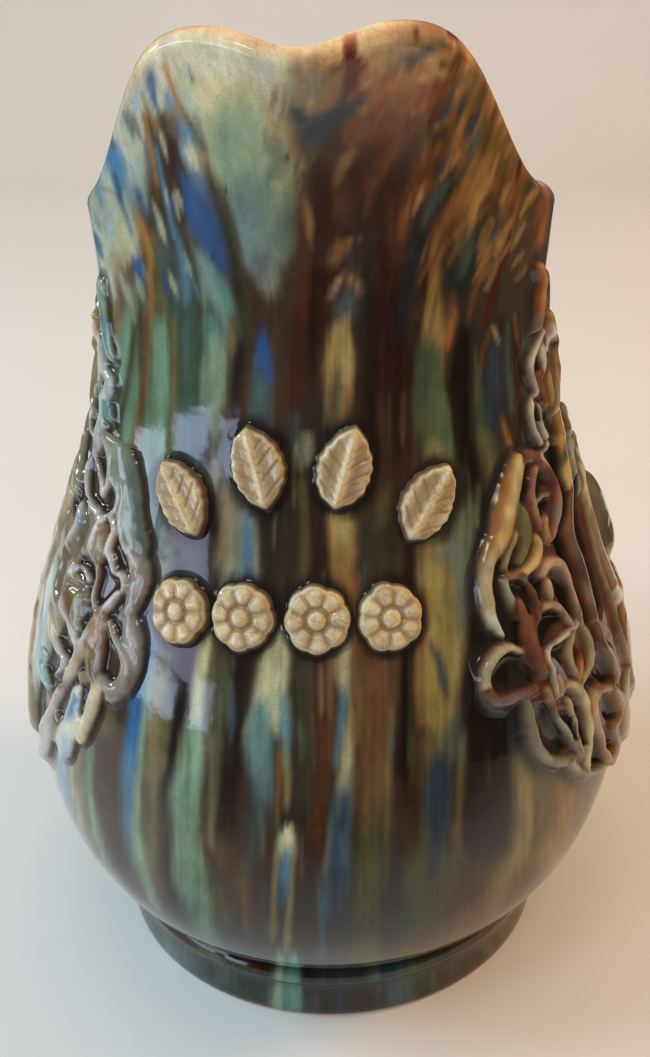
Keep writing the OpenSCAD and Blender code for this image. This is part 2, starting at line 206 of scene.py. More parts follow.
UPPER = [
    # the funnel of pale glaze under the pouring edge
    ("sage", 1.0, 7, 232, 62, 118, 236, 100, 112, 246, 150, 96, 254, 200, 78, 262, 245, 56, 268, 272, 22),
    ("pale", 0.6, 10, 212, 76, 40, 205, 100, 20),
    ("celadon", 0.8, 10, 236, 130, 60, 240, 170, 60, 246, 200, 50),
    ("grey_teal", 0.75, 10, 250, 200, 56, 258, 235, 56, 264, 258, 36),
    ("steel", 0.35, 10, 242, 215, 26, 246, 248, 22),
    ("slate", 0.6, 6, 286, 196, 10, 287, 220, 16, 284, 246, 14),
    ("slate", 0.55, 5, 276, 146, 22, 282, 158, 16, 276, 172, 18),
    ("mauve", 0.75, 7, 260, 262, 24, 266, 276, 20, 270, 284, 8),
    ("tan", 0.7, 6, 282, 104, 16, 290, 128, 16, 298, 148, 14),
    ("tan", 0.6, 5, 270, 116, 14, 276, 134, 12),
    ("slate", 0.6, 5, 284, 92, 20, 306, 88, 14),
    ("navy", 0.9, 5, 300, 114, 14, 316, 122, 22, 330, 130, 18),
    ("teal", 0.4, 6, 222, 120, 10, 226, 150, 10, 224, 170, 10),
    ("sky", 0.35, 6, 268, 74, 12, 264, 90, 10),
    # left flank
    ("steel", 0.9, 4, 146, 66, 7, 149, 78, 12, 153, 92, 13, 156, 102, 7),
    ("navy", 0.4, 4, 150, 72, 8, 154, 94, 6),
    ("sky", 0.7, 4, 136, 92, 6, 131, 112, 8, 132, 132, 7),
    ("steel", 0.95, 5, 106, 140, 10, 111, 152, 18, 117, 168, 17, 121, 188, 13, 125, 204, 9, 128, 214, 4),
    ("azure", 0.4, 5, 106, 146, 8, 114, 166, 10),
    ("navy", 0.55, 3, 116, 182, 5, 122, 200, 6, 127, 214, 4),
    ("sky", 0.7, 4, 96, 150, 8, 100, 176, 9, 101, 196, 6),
    ("olive", 0.6, 2, 103, 192, 3, 112, 195, 3, 119, 200, 3),
    ("pale_teal", 0.8, 4, 139, 168, 6, 142, 186, 9, 145, 202, 6),
    ("steel", 0.4, 3, 130, 170, 4, 134, 196, 5, 138, 212, 4),
    ("ochre", 0.85, 3, 152, 118, 10, 166, 118, 10),
    ("dark_olive", 0.9, 5, 150, 122, 8, 154, 134, 16, 158, 150, 12, 160, 166, 6),
    ("brown", 0.95, 4, 168, 124, 16, 172, 142, 22, 176, 170, 18, 179, 196, 12, 181, 210, 5),
    ("maroon", 0.5, 5, 174, 150, 10, 178, 186, 10),
    ("orange", 0.95, 1.6, 141, 114, 4, 146, 132, 4.5, 152, 156, 4.5, 156, 176, 4, 160, 196, 4),
    ("brown", 0.9, 3, 160, 190, 6, 164, 206, 7, 168, 226, 7, 172, 248, 6),
    ("steel", 0.85, 2.5, 156, 148, 4, 160, 166, 6, 165, 188, 6, 170, 212, 6, 174, 236, 5),
    ("orange", 0.95, 2, 166, 64, 5, 169, 76, 4, 175, 91, 4.5, 181, 105, 4, 185, 113, 3),
    ("ochre", 0.8, 2, 165, 67, 8, 168, 72, 6),
    ("dark_olive", 0.95, 2.5, 184, 110, 3, 190, 122, 6, 197, 136, 6, 202, 147, 5),
    ("tan", 0.9, 2.5, 202, 148, 4, 206, 162, 5),
    ("slate", 0.95, 1.4, 191, 65, 3, 193, 72, 5),
    ("steel", 0.95, 3, 182, 121, 4, 186, 132, 11, 190, 143, 7),
    ("sky", 0.5, 4, 186, 90, 5, 192, 106, 7, 200, 124, 8),
    ("ear", 0.95, 4, 189, 153, 9, 193, 161, 11, 198, 174, 7, 202, 190, 4),
    ("cobalt", 1.0, 4, 184, 174, 6, 189, 187, 14, 195, 206, 22, 205, 228, 28, 213, 246, 20, 220, 258, 7),
    ("azure", 0.12, 6, 192, 194, 6, 200, 216, 10, 206, 236, 10),
    ("sky", 0.5, 3, 202, 186, 4, 206, 200, 4),
    ("celadon", 0.9, 3, 188, 236, 4, 193, 256, 6, 198, 280, 6, 202, 310, 6),
    ("teal", 0.95, 5, 200, 258, 6, 210, 271, 19, 220, 292, 25, 229, 318, 25, 230, 330, 20),
    ("celadon", 0.5, 6, 208, 282, 8, 216, 300, 12, 224, 322, 14),
    ("dark_olive", 1.0, 4, 206, 168, 6, 214, 186, 13, 222, 210, 14, 230, 240, 13, 237, 268, 15, 241, 298, 15, 246, 328, 14),
    ("soot", 0.5, 4, 214, 190, 5, 232, 246, 6, 239, 290, 7),
    ("dark_olive", 0.95, 3, 177, 188, 7, 183, 216, 7, 187, 240, 8, 193, 268, 9, 197, 298, 9, 200, 328, 6),
    ("steel", 0.85, 4, 178, 242, 5, 181, 258, 9, 184, 282, 9, 185, 300, 6),
    ("slate", 0.8, 5, 176, 296, 10, 180, 330, 14),
    ("cream", 0.9, 6, 128, 228, 26, 126, 246, 28, 122, 258, 12),
    ("sky", 0.5, 3, 110, 222, 7, 112, 240, 6),
    ("slate", 0.8, 4, 156, 214, 8, 162, 232, 12, 167, 252, 9),
    ("orange", 0.95, 3, 140, 214, 5, 145, 236, 9, 149, 260, 8, 150, 290, 6, 149, 330, 6),
    ("olive", 0.85, 4, 154, 238, 6, 159, 262, 12, 160, 300, 14, 160, 330, 10),
    ("gold", 0.5, 3, 148, 240, 5, 152, 262, 5),
    ("steel", 0.85, 4, 136, 258, 6, 139, 270, 13, 139, 284, 7),
    ("clay", 0.7, 5, 118, 266, 12, 119, 290, 16, 118, 326, 14),
    ("maroon", 0.5, 4, 121, 280, 6, 121, 320, 6),
    ("ash", 0.7, 4, 131, 292, 8, 131, 330, 9),
    ("brown", 0.7, 3, 140, 292, 5, 139, 330, 5),
    # painted reflection: a pale streak down the neck's left edge
    ("ear", 0.6, 4, 88, 180, 8, 96, 240, 9, 106, 296, 9),
    ("moss", 0.6, 4, 90, 262, 8, 97, 290, 8, 104, 326, 8),
    ("navy", 0.7, 3, 94, 306, 6, 100, 316, 5),
    # right of the funnel
    ("dun", 0.8, 8, 330, 70, 30, 360, 70, 30, 395, 58, 26),
    ("butter", 0.7, 7, 372, 62, 22, 398, 56, 20, 420, 66, 12),
    ("grey_teal", 0.5, 6, 314, 78, 14, 318, 92, 14),
    ("tan", 0.8, 7, 352, 98, 22, 384, 88, 20, 404, 74, 14),
    ("rust", 0.85, 8, 372, 116, 34, 392, 108, 26),
    ("rust", 0.6, 3, 345, 50, 6, 352, 60, 8),
    ("red_brown", 0.95, 2.6, 346, 52, 4, 353, 60, 7, 363, 70, 14, 355, 80, 19, 349, 87, 8),
    ("rust", 0.6, 3, 406, 31, 7, 424, 32, 7),
    ("rust", 0.7, 4, 430, 26, 7, 446, 30, 8, 462, 36, 8),
    ("dark_olive", 0.6, 4, 452, 40, 12, 440, 46, 12, 428, 54, 5),
    ("slate", 0.95, 3.5, 428, 55, 6, 418, 61, 11, 408, 67, 5),
    ("butter", 0.8, 2.5, 434, 54, 4, 442, 52, 5, 450, 53, 4),
    ("butter", 0.85, 4, 402, 91, 5, 414, 83, 8, 434, 75, 9, 450, 71, 7),
    ("brown", 0.7, 4, 464, 50, 8, 452, 68, 6),
    ("red_brown", 0.95, 4, 448, 82, 5, 432, 92, 11, 418, 106, 16, 409, 126, 17, 402, 148, 15, 394, 168, 12),
    ("rust", 0.6, 5, 405, 104, 10, 392, 126, 10),
    ("navy", 0.95, 4.5, 356, 104, 4, 347, 110, 14, 332, 120, 19, 316, 131, 14),
    ("slate", 0.5, 6, 304, 128, 20, 310, 146, 14),
    ("rust", 0.6, 6, 346, 134, 20, 366, 122, 16),
    ("tan", 0.55, 7, 360, 108, 18, 392, 98, 18),
    ("rust", 0.7, 8, 358, 128, 26, 384, 130, 30),
    ("maroon", 0.75, 7, 334, 150, 20, 326, 180, 24, 322, 205, 22),
    ("butter", 0.7, 4, 351, 158, 6, 346, 163, 10, 340, 170, 9),
    ("clay", 0.5, 4, 342, 166, 8, 334, 180, 8),
    ("dark_olive", 0.8, 4, 426, 120, 5, 420, 138, 14, 408, 160, 16, 400, 174, 9),
    ("slate", 0.45, 4, 424, 128, 8, 416, 148, 8),
    ("sepia", 0.8, 4, 436, 106, 6, 430, 124, 7, 424, 142, 5),
    ("slate", 0.9, 3, 457, 86, 5, 450, 98, 9, 444, 114, 9, 442, 122, 5),
    ("tan", 0.8, 4, 462, 86, 6, 456, 104, 6, 450, 124, 6),
    ("fern", 0.7, 4, 480, 66, 8, 482, 74, 8),
    ("brown", 0.7, 4, 488, 84, 8, 480, 104, 8, 470, 124, 6),
    ("olive", 0.85, 4, 478, 80, 10, 467, 102, 10, 456, 126, 9, 446, 150, 7),
    ("red_brown", 0.6, 4, 452, 128, 8, 440, 152, 9, 428, 176, 9),
    ("tan", 0.8, 4, 470, 116, 8, 458, 138, 9, 448, 158, 8),
    ("navy", 0.95, 2.6, 482, 125, 3, 478, 134, 7, 471, 150, 8, 465, 166, 6, 461, 175, 3),
    ("ink", 1.0, 4, 454, 171, 8, 450, 184, 17, 443, 200, 15, 439, 208, 8),
    ("tan", 0.7, 4, 474, 160, 8, 466, 182, 8, 458, 200, 6),
    ("olive", 0.85, 4, 496, 138, 6, 490, 158, 9, 482, 184, 9, 474, 204, 7),
    ("ochre", 0.8, 5, 486, 182, 10, 478, 204, 14, 472, 220, 11),
    ("gold", 0.5, 4, 484, 196, 8, 476, 212, 9),
    ("orange", 0.5, 6, 500, 106, 16, 512, 126, 12),
    ("olive", 0.8, 4, 512, 136, 8, 508, 154, 9, 504, 172, 8),
    ("blood", 1.0, 1.5, 525, 143, 2, 521, 164, 4, 517, 188, 5, 512, 214, 5, 505, 244, 5, 498, 270, 6, 491, 298, 6, 486, 320, 5),
    ("orange", 0.6, 4, 532, 156, 8, 527, 176, 6),
    ("dark_olive", 0.95, 4, 537, 170, 7, 530, 186, 13, 524, 212, 15, 516, 244, 16, 509, 276, 14, 503, 310, 12),
    ("olive", 0.6, 3, 514, 200, 5, 508, 226, 5),
    ("orange", 0.9, 4, 546, 194, 7, 543, 214, 10, 539, 236, 7),
    ("dark", 0.8, 3, 552, 196, 5, 550, 220, 4),
    ("rust", 0.9, 4, 454, 200, 7, 450, 218, 11, 445, 242, 11, 442, 258, 7),
    ("tan", 0.8, 4, 438, 232, 6, 434, 254, 8, 431, 270, 5),
    ("brown", 0.8, 5, 494, 210, 12, 490, 240, 14, 482, 270, 12),
    ("rust", 0.8, 3, 488, 240, 6, 482, 266, 7, 474, 294, 7, 466, 322, 6),
    # thin flecks that follow the turn of the wall
    ("butter", 0.7, 1.8, 398, 98, 2, 384, 112, 4, 374, 126, 2),
    ("tan", 0.7, 1.8, 436, 64, 2, 420, 72, 3, 406, 78, 2),
    ("brown", 0.8, 1.8, 446, 62, 2, 430, 68, 4, 414, 76, 2),
    ("sepia", 0.8, 2, 398, 70, 3, 376, 82, 4, 362, 96, 2),
    ("olive", 0.7, 2, 420, 46, 3, 404, 54, 4, 386, 62, 2),
    ("butter", 0.6, 1.8, 474, 56, 2, 466, 74, 4, 458, 92, 2),
    ("brown", 0.8, 1.8, 470, 44, 2, 462, 62, 4, 454, 80, 2),
    ("ochre", 0.7, 2, 490, 92, 3, 480, 116, 4, 472, 136, 2),
    ("brown", 0.7, 2, 498, 104, 3, 490, 126, 4, 482, 150, 2),
    ("slate", 0.6, 2, 468, 92, 2, 460, 112, 4, 452, 130, 2),
    ("clay", 0.7, 1.8, 452, 138, 2, 444, 158, 4, 438, 174, 2),
    ("rust", 0.8, 2, 466, 146, 2, 458, 166, 4, 452, 180, 2),
    ("gold", 0.6, 1.8, 500, 150, 2, 494, 176, 4, 488, 198, 2),
    ("brown", 0.7, 2, 504, 180, 3, 498, 206, 4, 490, 232, 2),
    ("dark", 0.7, 2, 482, 206, 3, 476, 226, 5, 470, 240, 3),
    ("tan", 0.7, 2, 506, 192, 3, 500, 222, 4, 494, 250, 2),
    ("clay", 0.7, 2, 500, 240, 3, 492, 268, 4, 486, 290, 2),
    ("dark_olive", 0.7, 2, 440, 128, 2, 432, 148, 4, 422, 170, 2),
    ("clay", 0.5, 2, 430, 132, 2, 420, 154, 4, 410, 172, 2),
    ("rust", 0.7, 2, 434, 166, 3, 424, 188, 5, 414, 204, 3),
    ("olive", 0.6, 2, 524, 200, 2, 518, 228, 4, 512, 256, 2),
    ("tan", 0.6, 1.6, 520, 180, 2, 516, 206, 3, 511, 234, 2),
    ("clay", 0.8, 2, 530, 268, 4, 531, 284, 4),
    ("maroon", 0.65, 9, 424, 118, 24, 404, 150, 34, 388, 190, 38),
    ("sepia", 0.55, 7, 330, 166, 22, 340, 200, 20),
    ("navy", 0.65, 5, 354, 104, 14, 322, 128, 18),
    ("red_brown", 0.9, 4, 350, 58, 16, 356, 84, 24),
    ("clay", 0.5, 6, 372, 62, 14, 410, 50, 14), ("clay", 0.45, 6, 310, 82, 16, 340, 72, 14),
    ("ivory", 0.6, 9, 168, 48, 34, 205, 54, 34, 240, 66, 28, 275, 80, 18),
    ("cobalt", 0.8, 5, 196, 172, 10, 206, 205, 22, 214, 240, 24, 222, 262, 12),
    ("pale_teal", 0.6, 6, 201, 264, 12, 207, 292, 18),
]

MIDDLE = [
    ("tan", 0.95, 3, 303, 160, 9, 304, 170, 8),
    ("slate", 0.6, 4, 303, 178, 8, 303, 190, 8),
    ("tan", 0.95, 3, 303, 200, 5, 306, 212, 10, 309, 230, 11, 311, 248, 6),
    ("red_brown", 0.8, 5, 304, 252, 14, 302, 280, 16, 300, 320, 14),
    ("blood", 0.5, 6, 297, 320, 8, 297, 400, 10),
    ("maroon", 0.95, 5, 322, 172, 18, 324, 215, 16, 319, 262, 16, 315, 310, 14),
    ("tan", 0.9, 4, 334, 256, 10, 338, 246, 12, 348, 240, 10, 358, 238, 5),
    ("slate", 0.5, 4, 350, 254, 12, 352, 264, 12),
    ("clay", 0.95, 4, 332, 290, 8, 337, 282, 12, 347, 276, 13, 354, 283, 11),
    ("slate", 0.9, 5, 346, 296, 20, 344, 310, 22),
    ("gold", 1.0, 4, 345, 322, 7, 342, 334, 20, 341, 350, 29, 340, 370, 33, 339, 386, 31, 338, 394, 26),
    ("mustard", 0.6, 6, 330, 340, 10, 328, 366, 10),
    ("tan", 0.8, 5, 340, 396, 28, 338, 410, 25, 336, 418, 18),
    ("dark_olive", 0.7, 6, 336, 378, 8, 336, 398, 12, 334, 416, 13),
    ("cream", 0.35, 6, 340, 336, 10, 348, 364, 10),
    ("ink", 0.85, 4, 364, 216, 8, 368, 240, 11, 369, 280, 11, 366, 310, 10),
    ("dark", 0.8, 4, 362, 330, 8, 360, 380, 8),
    ("maroon", 0.9, 5, 384, 186, 24, 384, 240, 26, 384, 290, 26, 386, 345, 26, 388, 400, 22),
    ("red_brown", 0.8, 5, 392, 206, 10, 394, 232, 13, 396, 262, 10, 398, 286, 6),
    ("orange", 0.7, 4, 416, 198, 6, 408, 212, 10, 403, 230, 7),
    ("tan", 0.5, 4, 416, 200, 6, 410, 214, 7),
    ("ink", 0.95, 5, 428, 210, 14, 420, 236, 18, 411, 268, 18, 405, 300, 14, 402, 326, 10),
    ("black", 0.8, 6, 424, 280, 16, 420, 330, 14, 410, 370, 14),
    ("cobalt", 1.0, 4, 264, 334, 6, 264, 346, 16, 264, 362, 21, 265, 378, 19, 266, 388, 9),
    ("azure", 0.12, 4, 266, 350, 10, 262, 372, 12),
    ("steel", 0.5, 4, 255, 364, 6, 255, 384, 6),
    ("slate", 0.9, 5, 262, 390, 21, 261, 405, 26, 260, 422, 23, 258, 430, 13),
    ("pine", 0.5, 4, 252, 390, 6, 252, 420, 6),
    ("black", 0.8, 5, 236, 352, 16, 234, 392, 16, 238, 420, 10),
    ("dark_olive", 0.9, 4, 232, 322, 7, 231, 350, 6, 228, 374, 5),
    ("ochre", 0.7, 3, 230, 326, 6, 230, 346, 6),
    ("brown", 0.85, 4, 382, 400, 5, 384, 424, 12, 386, 456, 15, 384, 486, 14, 382, 506, 8),
    ("slate", 0.6, 3, 295, 420, 5, 295, 440, 5),
    ("ash", 0.95, 4, 306, 444, 17, 305, 455, 22, 302, 465, 11, 301, 470, 4),
    ("slate", 0.4, 4, 299, 446, 6, 299, 458, 6),
    # stripes on the left
    ("olive", 0.8, 3, 114, 322, 8, 114, 352, 5),
    ("dark", 0.85, 3, 110, 352, 8, 110, 400, 8, 112, 420, 6),
    ("moss", 1.0, 3, 128, 326, 10, 125, 352, 12, 121, 386, 12, 116, 418, 10),
    ("celadon", 0.35, 3, 126, 340, 5, 120, 380, 5),
    ("dark_olive", 0.9, 2.4, 134, 330, 6, 132, 360, 6, 126, 392, 5, 121, 420, 5),
    ("moss", 1.0, 3, 136, 388, 5, 134, 410, 10, 130, 436, 12, 126, 450, 7),
    ("dark_olive", 0.8, 3, 140, 322, 6, 140, 360, 5),
    ("rust", 0.9, 3, 146, 322, 7, 145, 350, 8, 142, 390, 7, 138, 420, 7, 134, 452, 7, 133, 468, 5),
    ("moss", 1.0, 4, 158, 332, 13, 160, 356, 20, 158, 392, 20, 156, 430, 20, 154, 470, 20, 152, 506, 15),
    ("celadon", 0.5, 5, 160, 340, 10, 160, 380, 12, 157, 420, 10),
    ("olive", 0.95, 3, 171, 322, 6, 173, 360, 7, 172, 392, 7, 168, 424, 6, 165, 446, 5),
    ("pine", 1.0, 4, 188, 322, 18, 189, 360, 20, 190, 396, 20, 186, 408, 11),
    ("slate", 0.4, 4, 186, 330, 10, 188, 380, 10),
    ("teal", 0.9, 4, 208, 324, 18, 210, 340, 16),
    ("celadon", 0.9, 5, 214, 354, 21, 213, 380, 26, 213, 406, 21, 215, 424, 13),
    ("sage", 0.5, 5, 222, 350, 8, 220, 380, 8, 222, 400, 8),
    ("moss", 0.6, 4, 204, 360, 6, 204, 400, 6),
    ("slate", 0.8, 6, 196, 420, 26, 196, 450, 24),
    ("ash", 0.7, 4, 217, 420, 6, 214, 450, 8, 216, 476, 8),
    ("fern", 0.9, 5, 150, 462, 12, 152, 500, 16, 160, 530, 18, 168, 546, 15),
    # right
    ("tan", 0.6, 4, 434, 268, 8, 432, 286, 10),
    ("ochre", 0.95, 4, 437, 274, 7, 436, 290, 14, 434, 312, 20, 433, 332, 26, 433, 348, 27, 434, 358, 17),
    ("gold", 0.6, 5, 432, 322, 12, 432, 344, 16),
    ("orange", 0.95, 3, 454, 297, 6, 453, 312, 8, 450, 332, 8, 448, 344, 5),
    ("rust", 0.7, 3, 456, 322, 5, 455, 350, 5),
    ("ink", 0.95, 4, 472, 237, 11, 468, 258, 19, 464, 284, 16, 457, 296, 6),
    ("ink", 0.8, 4, 452, 270, 10, 446, 284, 10),
    ("fern", 1.0, 5, 430, 368, 29, 432, 390, 34, 434, 420, 36, 440, 450, 36, 446, 462, 28),
    ("pine", 0.6, 5, 424, 366, 12, 424, 390, 12),
    ("moss", 0.3, 6, 440, 400, 14, 444, 440, 18),
    ("mustard", 0.5, 4, 434, 452, 24, 444, 464, 18),
    ("blood", 0.85, 3, 447, 352, 5, 446, 384, 5, 450, 404, 5),
    ("soot", 0.95, 4, 462, 336, 16, 458, 380, 20, 462, 430, 18, 470, 470, 16, 478, 502, 13),
    ("black", 0.9, 4, 449, 384, 6, 454, 420, 7, 460, 456, 7),
    ("rust", 0.95, 2.4, 490, 332, 6, 484, 348, 5, 480, 366, 5, 476, 386, 4, 474, 404, 3),
    ("peach", 0.7, 2, 494, 330, 4, 498, 340, 4),
    ("navy", 0.95, 5, 494, 356, 15, 493, 384, 20, 490, 414, 17, 492, 432, 9),
    ("pine", 0.9, 5, 478, 390, 10, 478, 412, 14, 484, 440, 16, 490, 458, 11),
    ("ochre", 0.5, 5, 482, 440, 10, 490, 462, 12, 492, 478, 9),
    ("orange", 0.85, 2.4, 501, 422, 5, 504, 434, 6, 508, 446, 6, 510, 452, 3),
    ("slate", 0.8, 3, 508, 330, 6, 508, 380, 6, 511, 408, 6),
    ("maroon", 0.9, 3, 515, 332, 7, 518, 370, 7, 518, 410, 6, 520, 444, 6),
    ("orange", 0.6, 2, 515, 322, 4, 517, 340, 4),
    ("grey_teal", 0.9, 3, 533, 326, 12, 528, 360, 12, 529, 396, 12, 532, 428, 10),
    # painted shade: a dark band along the left edge of the right relief
    ("soot", 0.85, 5, 516, 452, 14, 504, 462, 10, 494, 490, 10, 486, 520, 13, 478, 545, 14, 476, 600, 13, 478, 640, 13),
    # painted reflection: pale-blue bands where the cool window light is mirrored on the left of the wall
    ("sky", 0.6, 8, 146, 470, 14, 150, 520, 22, 152, 560, 30, 158, 610, 30, 158, 650, 26, 158, 700, 14),
    ("steel", 0.55, 8, 240, 540, 34, 246, 575, 28),
]

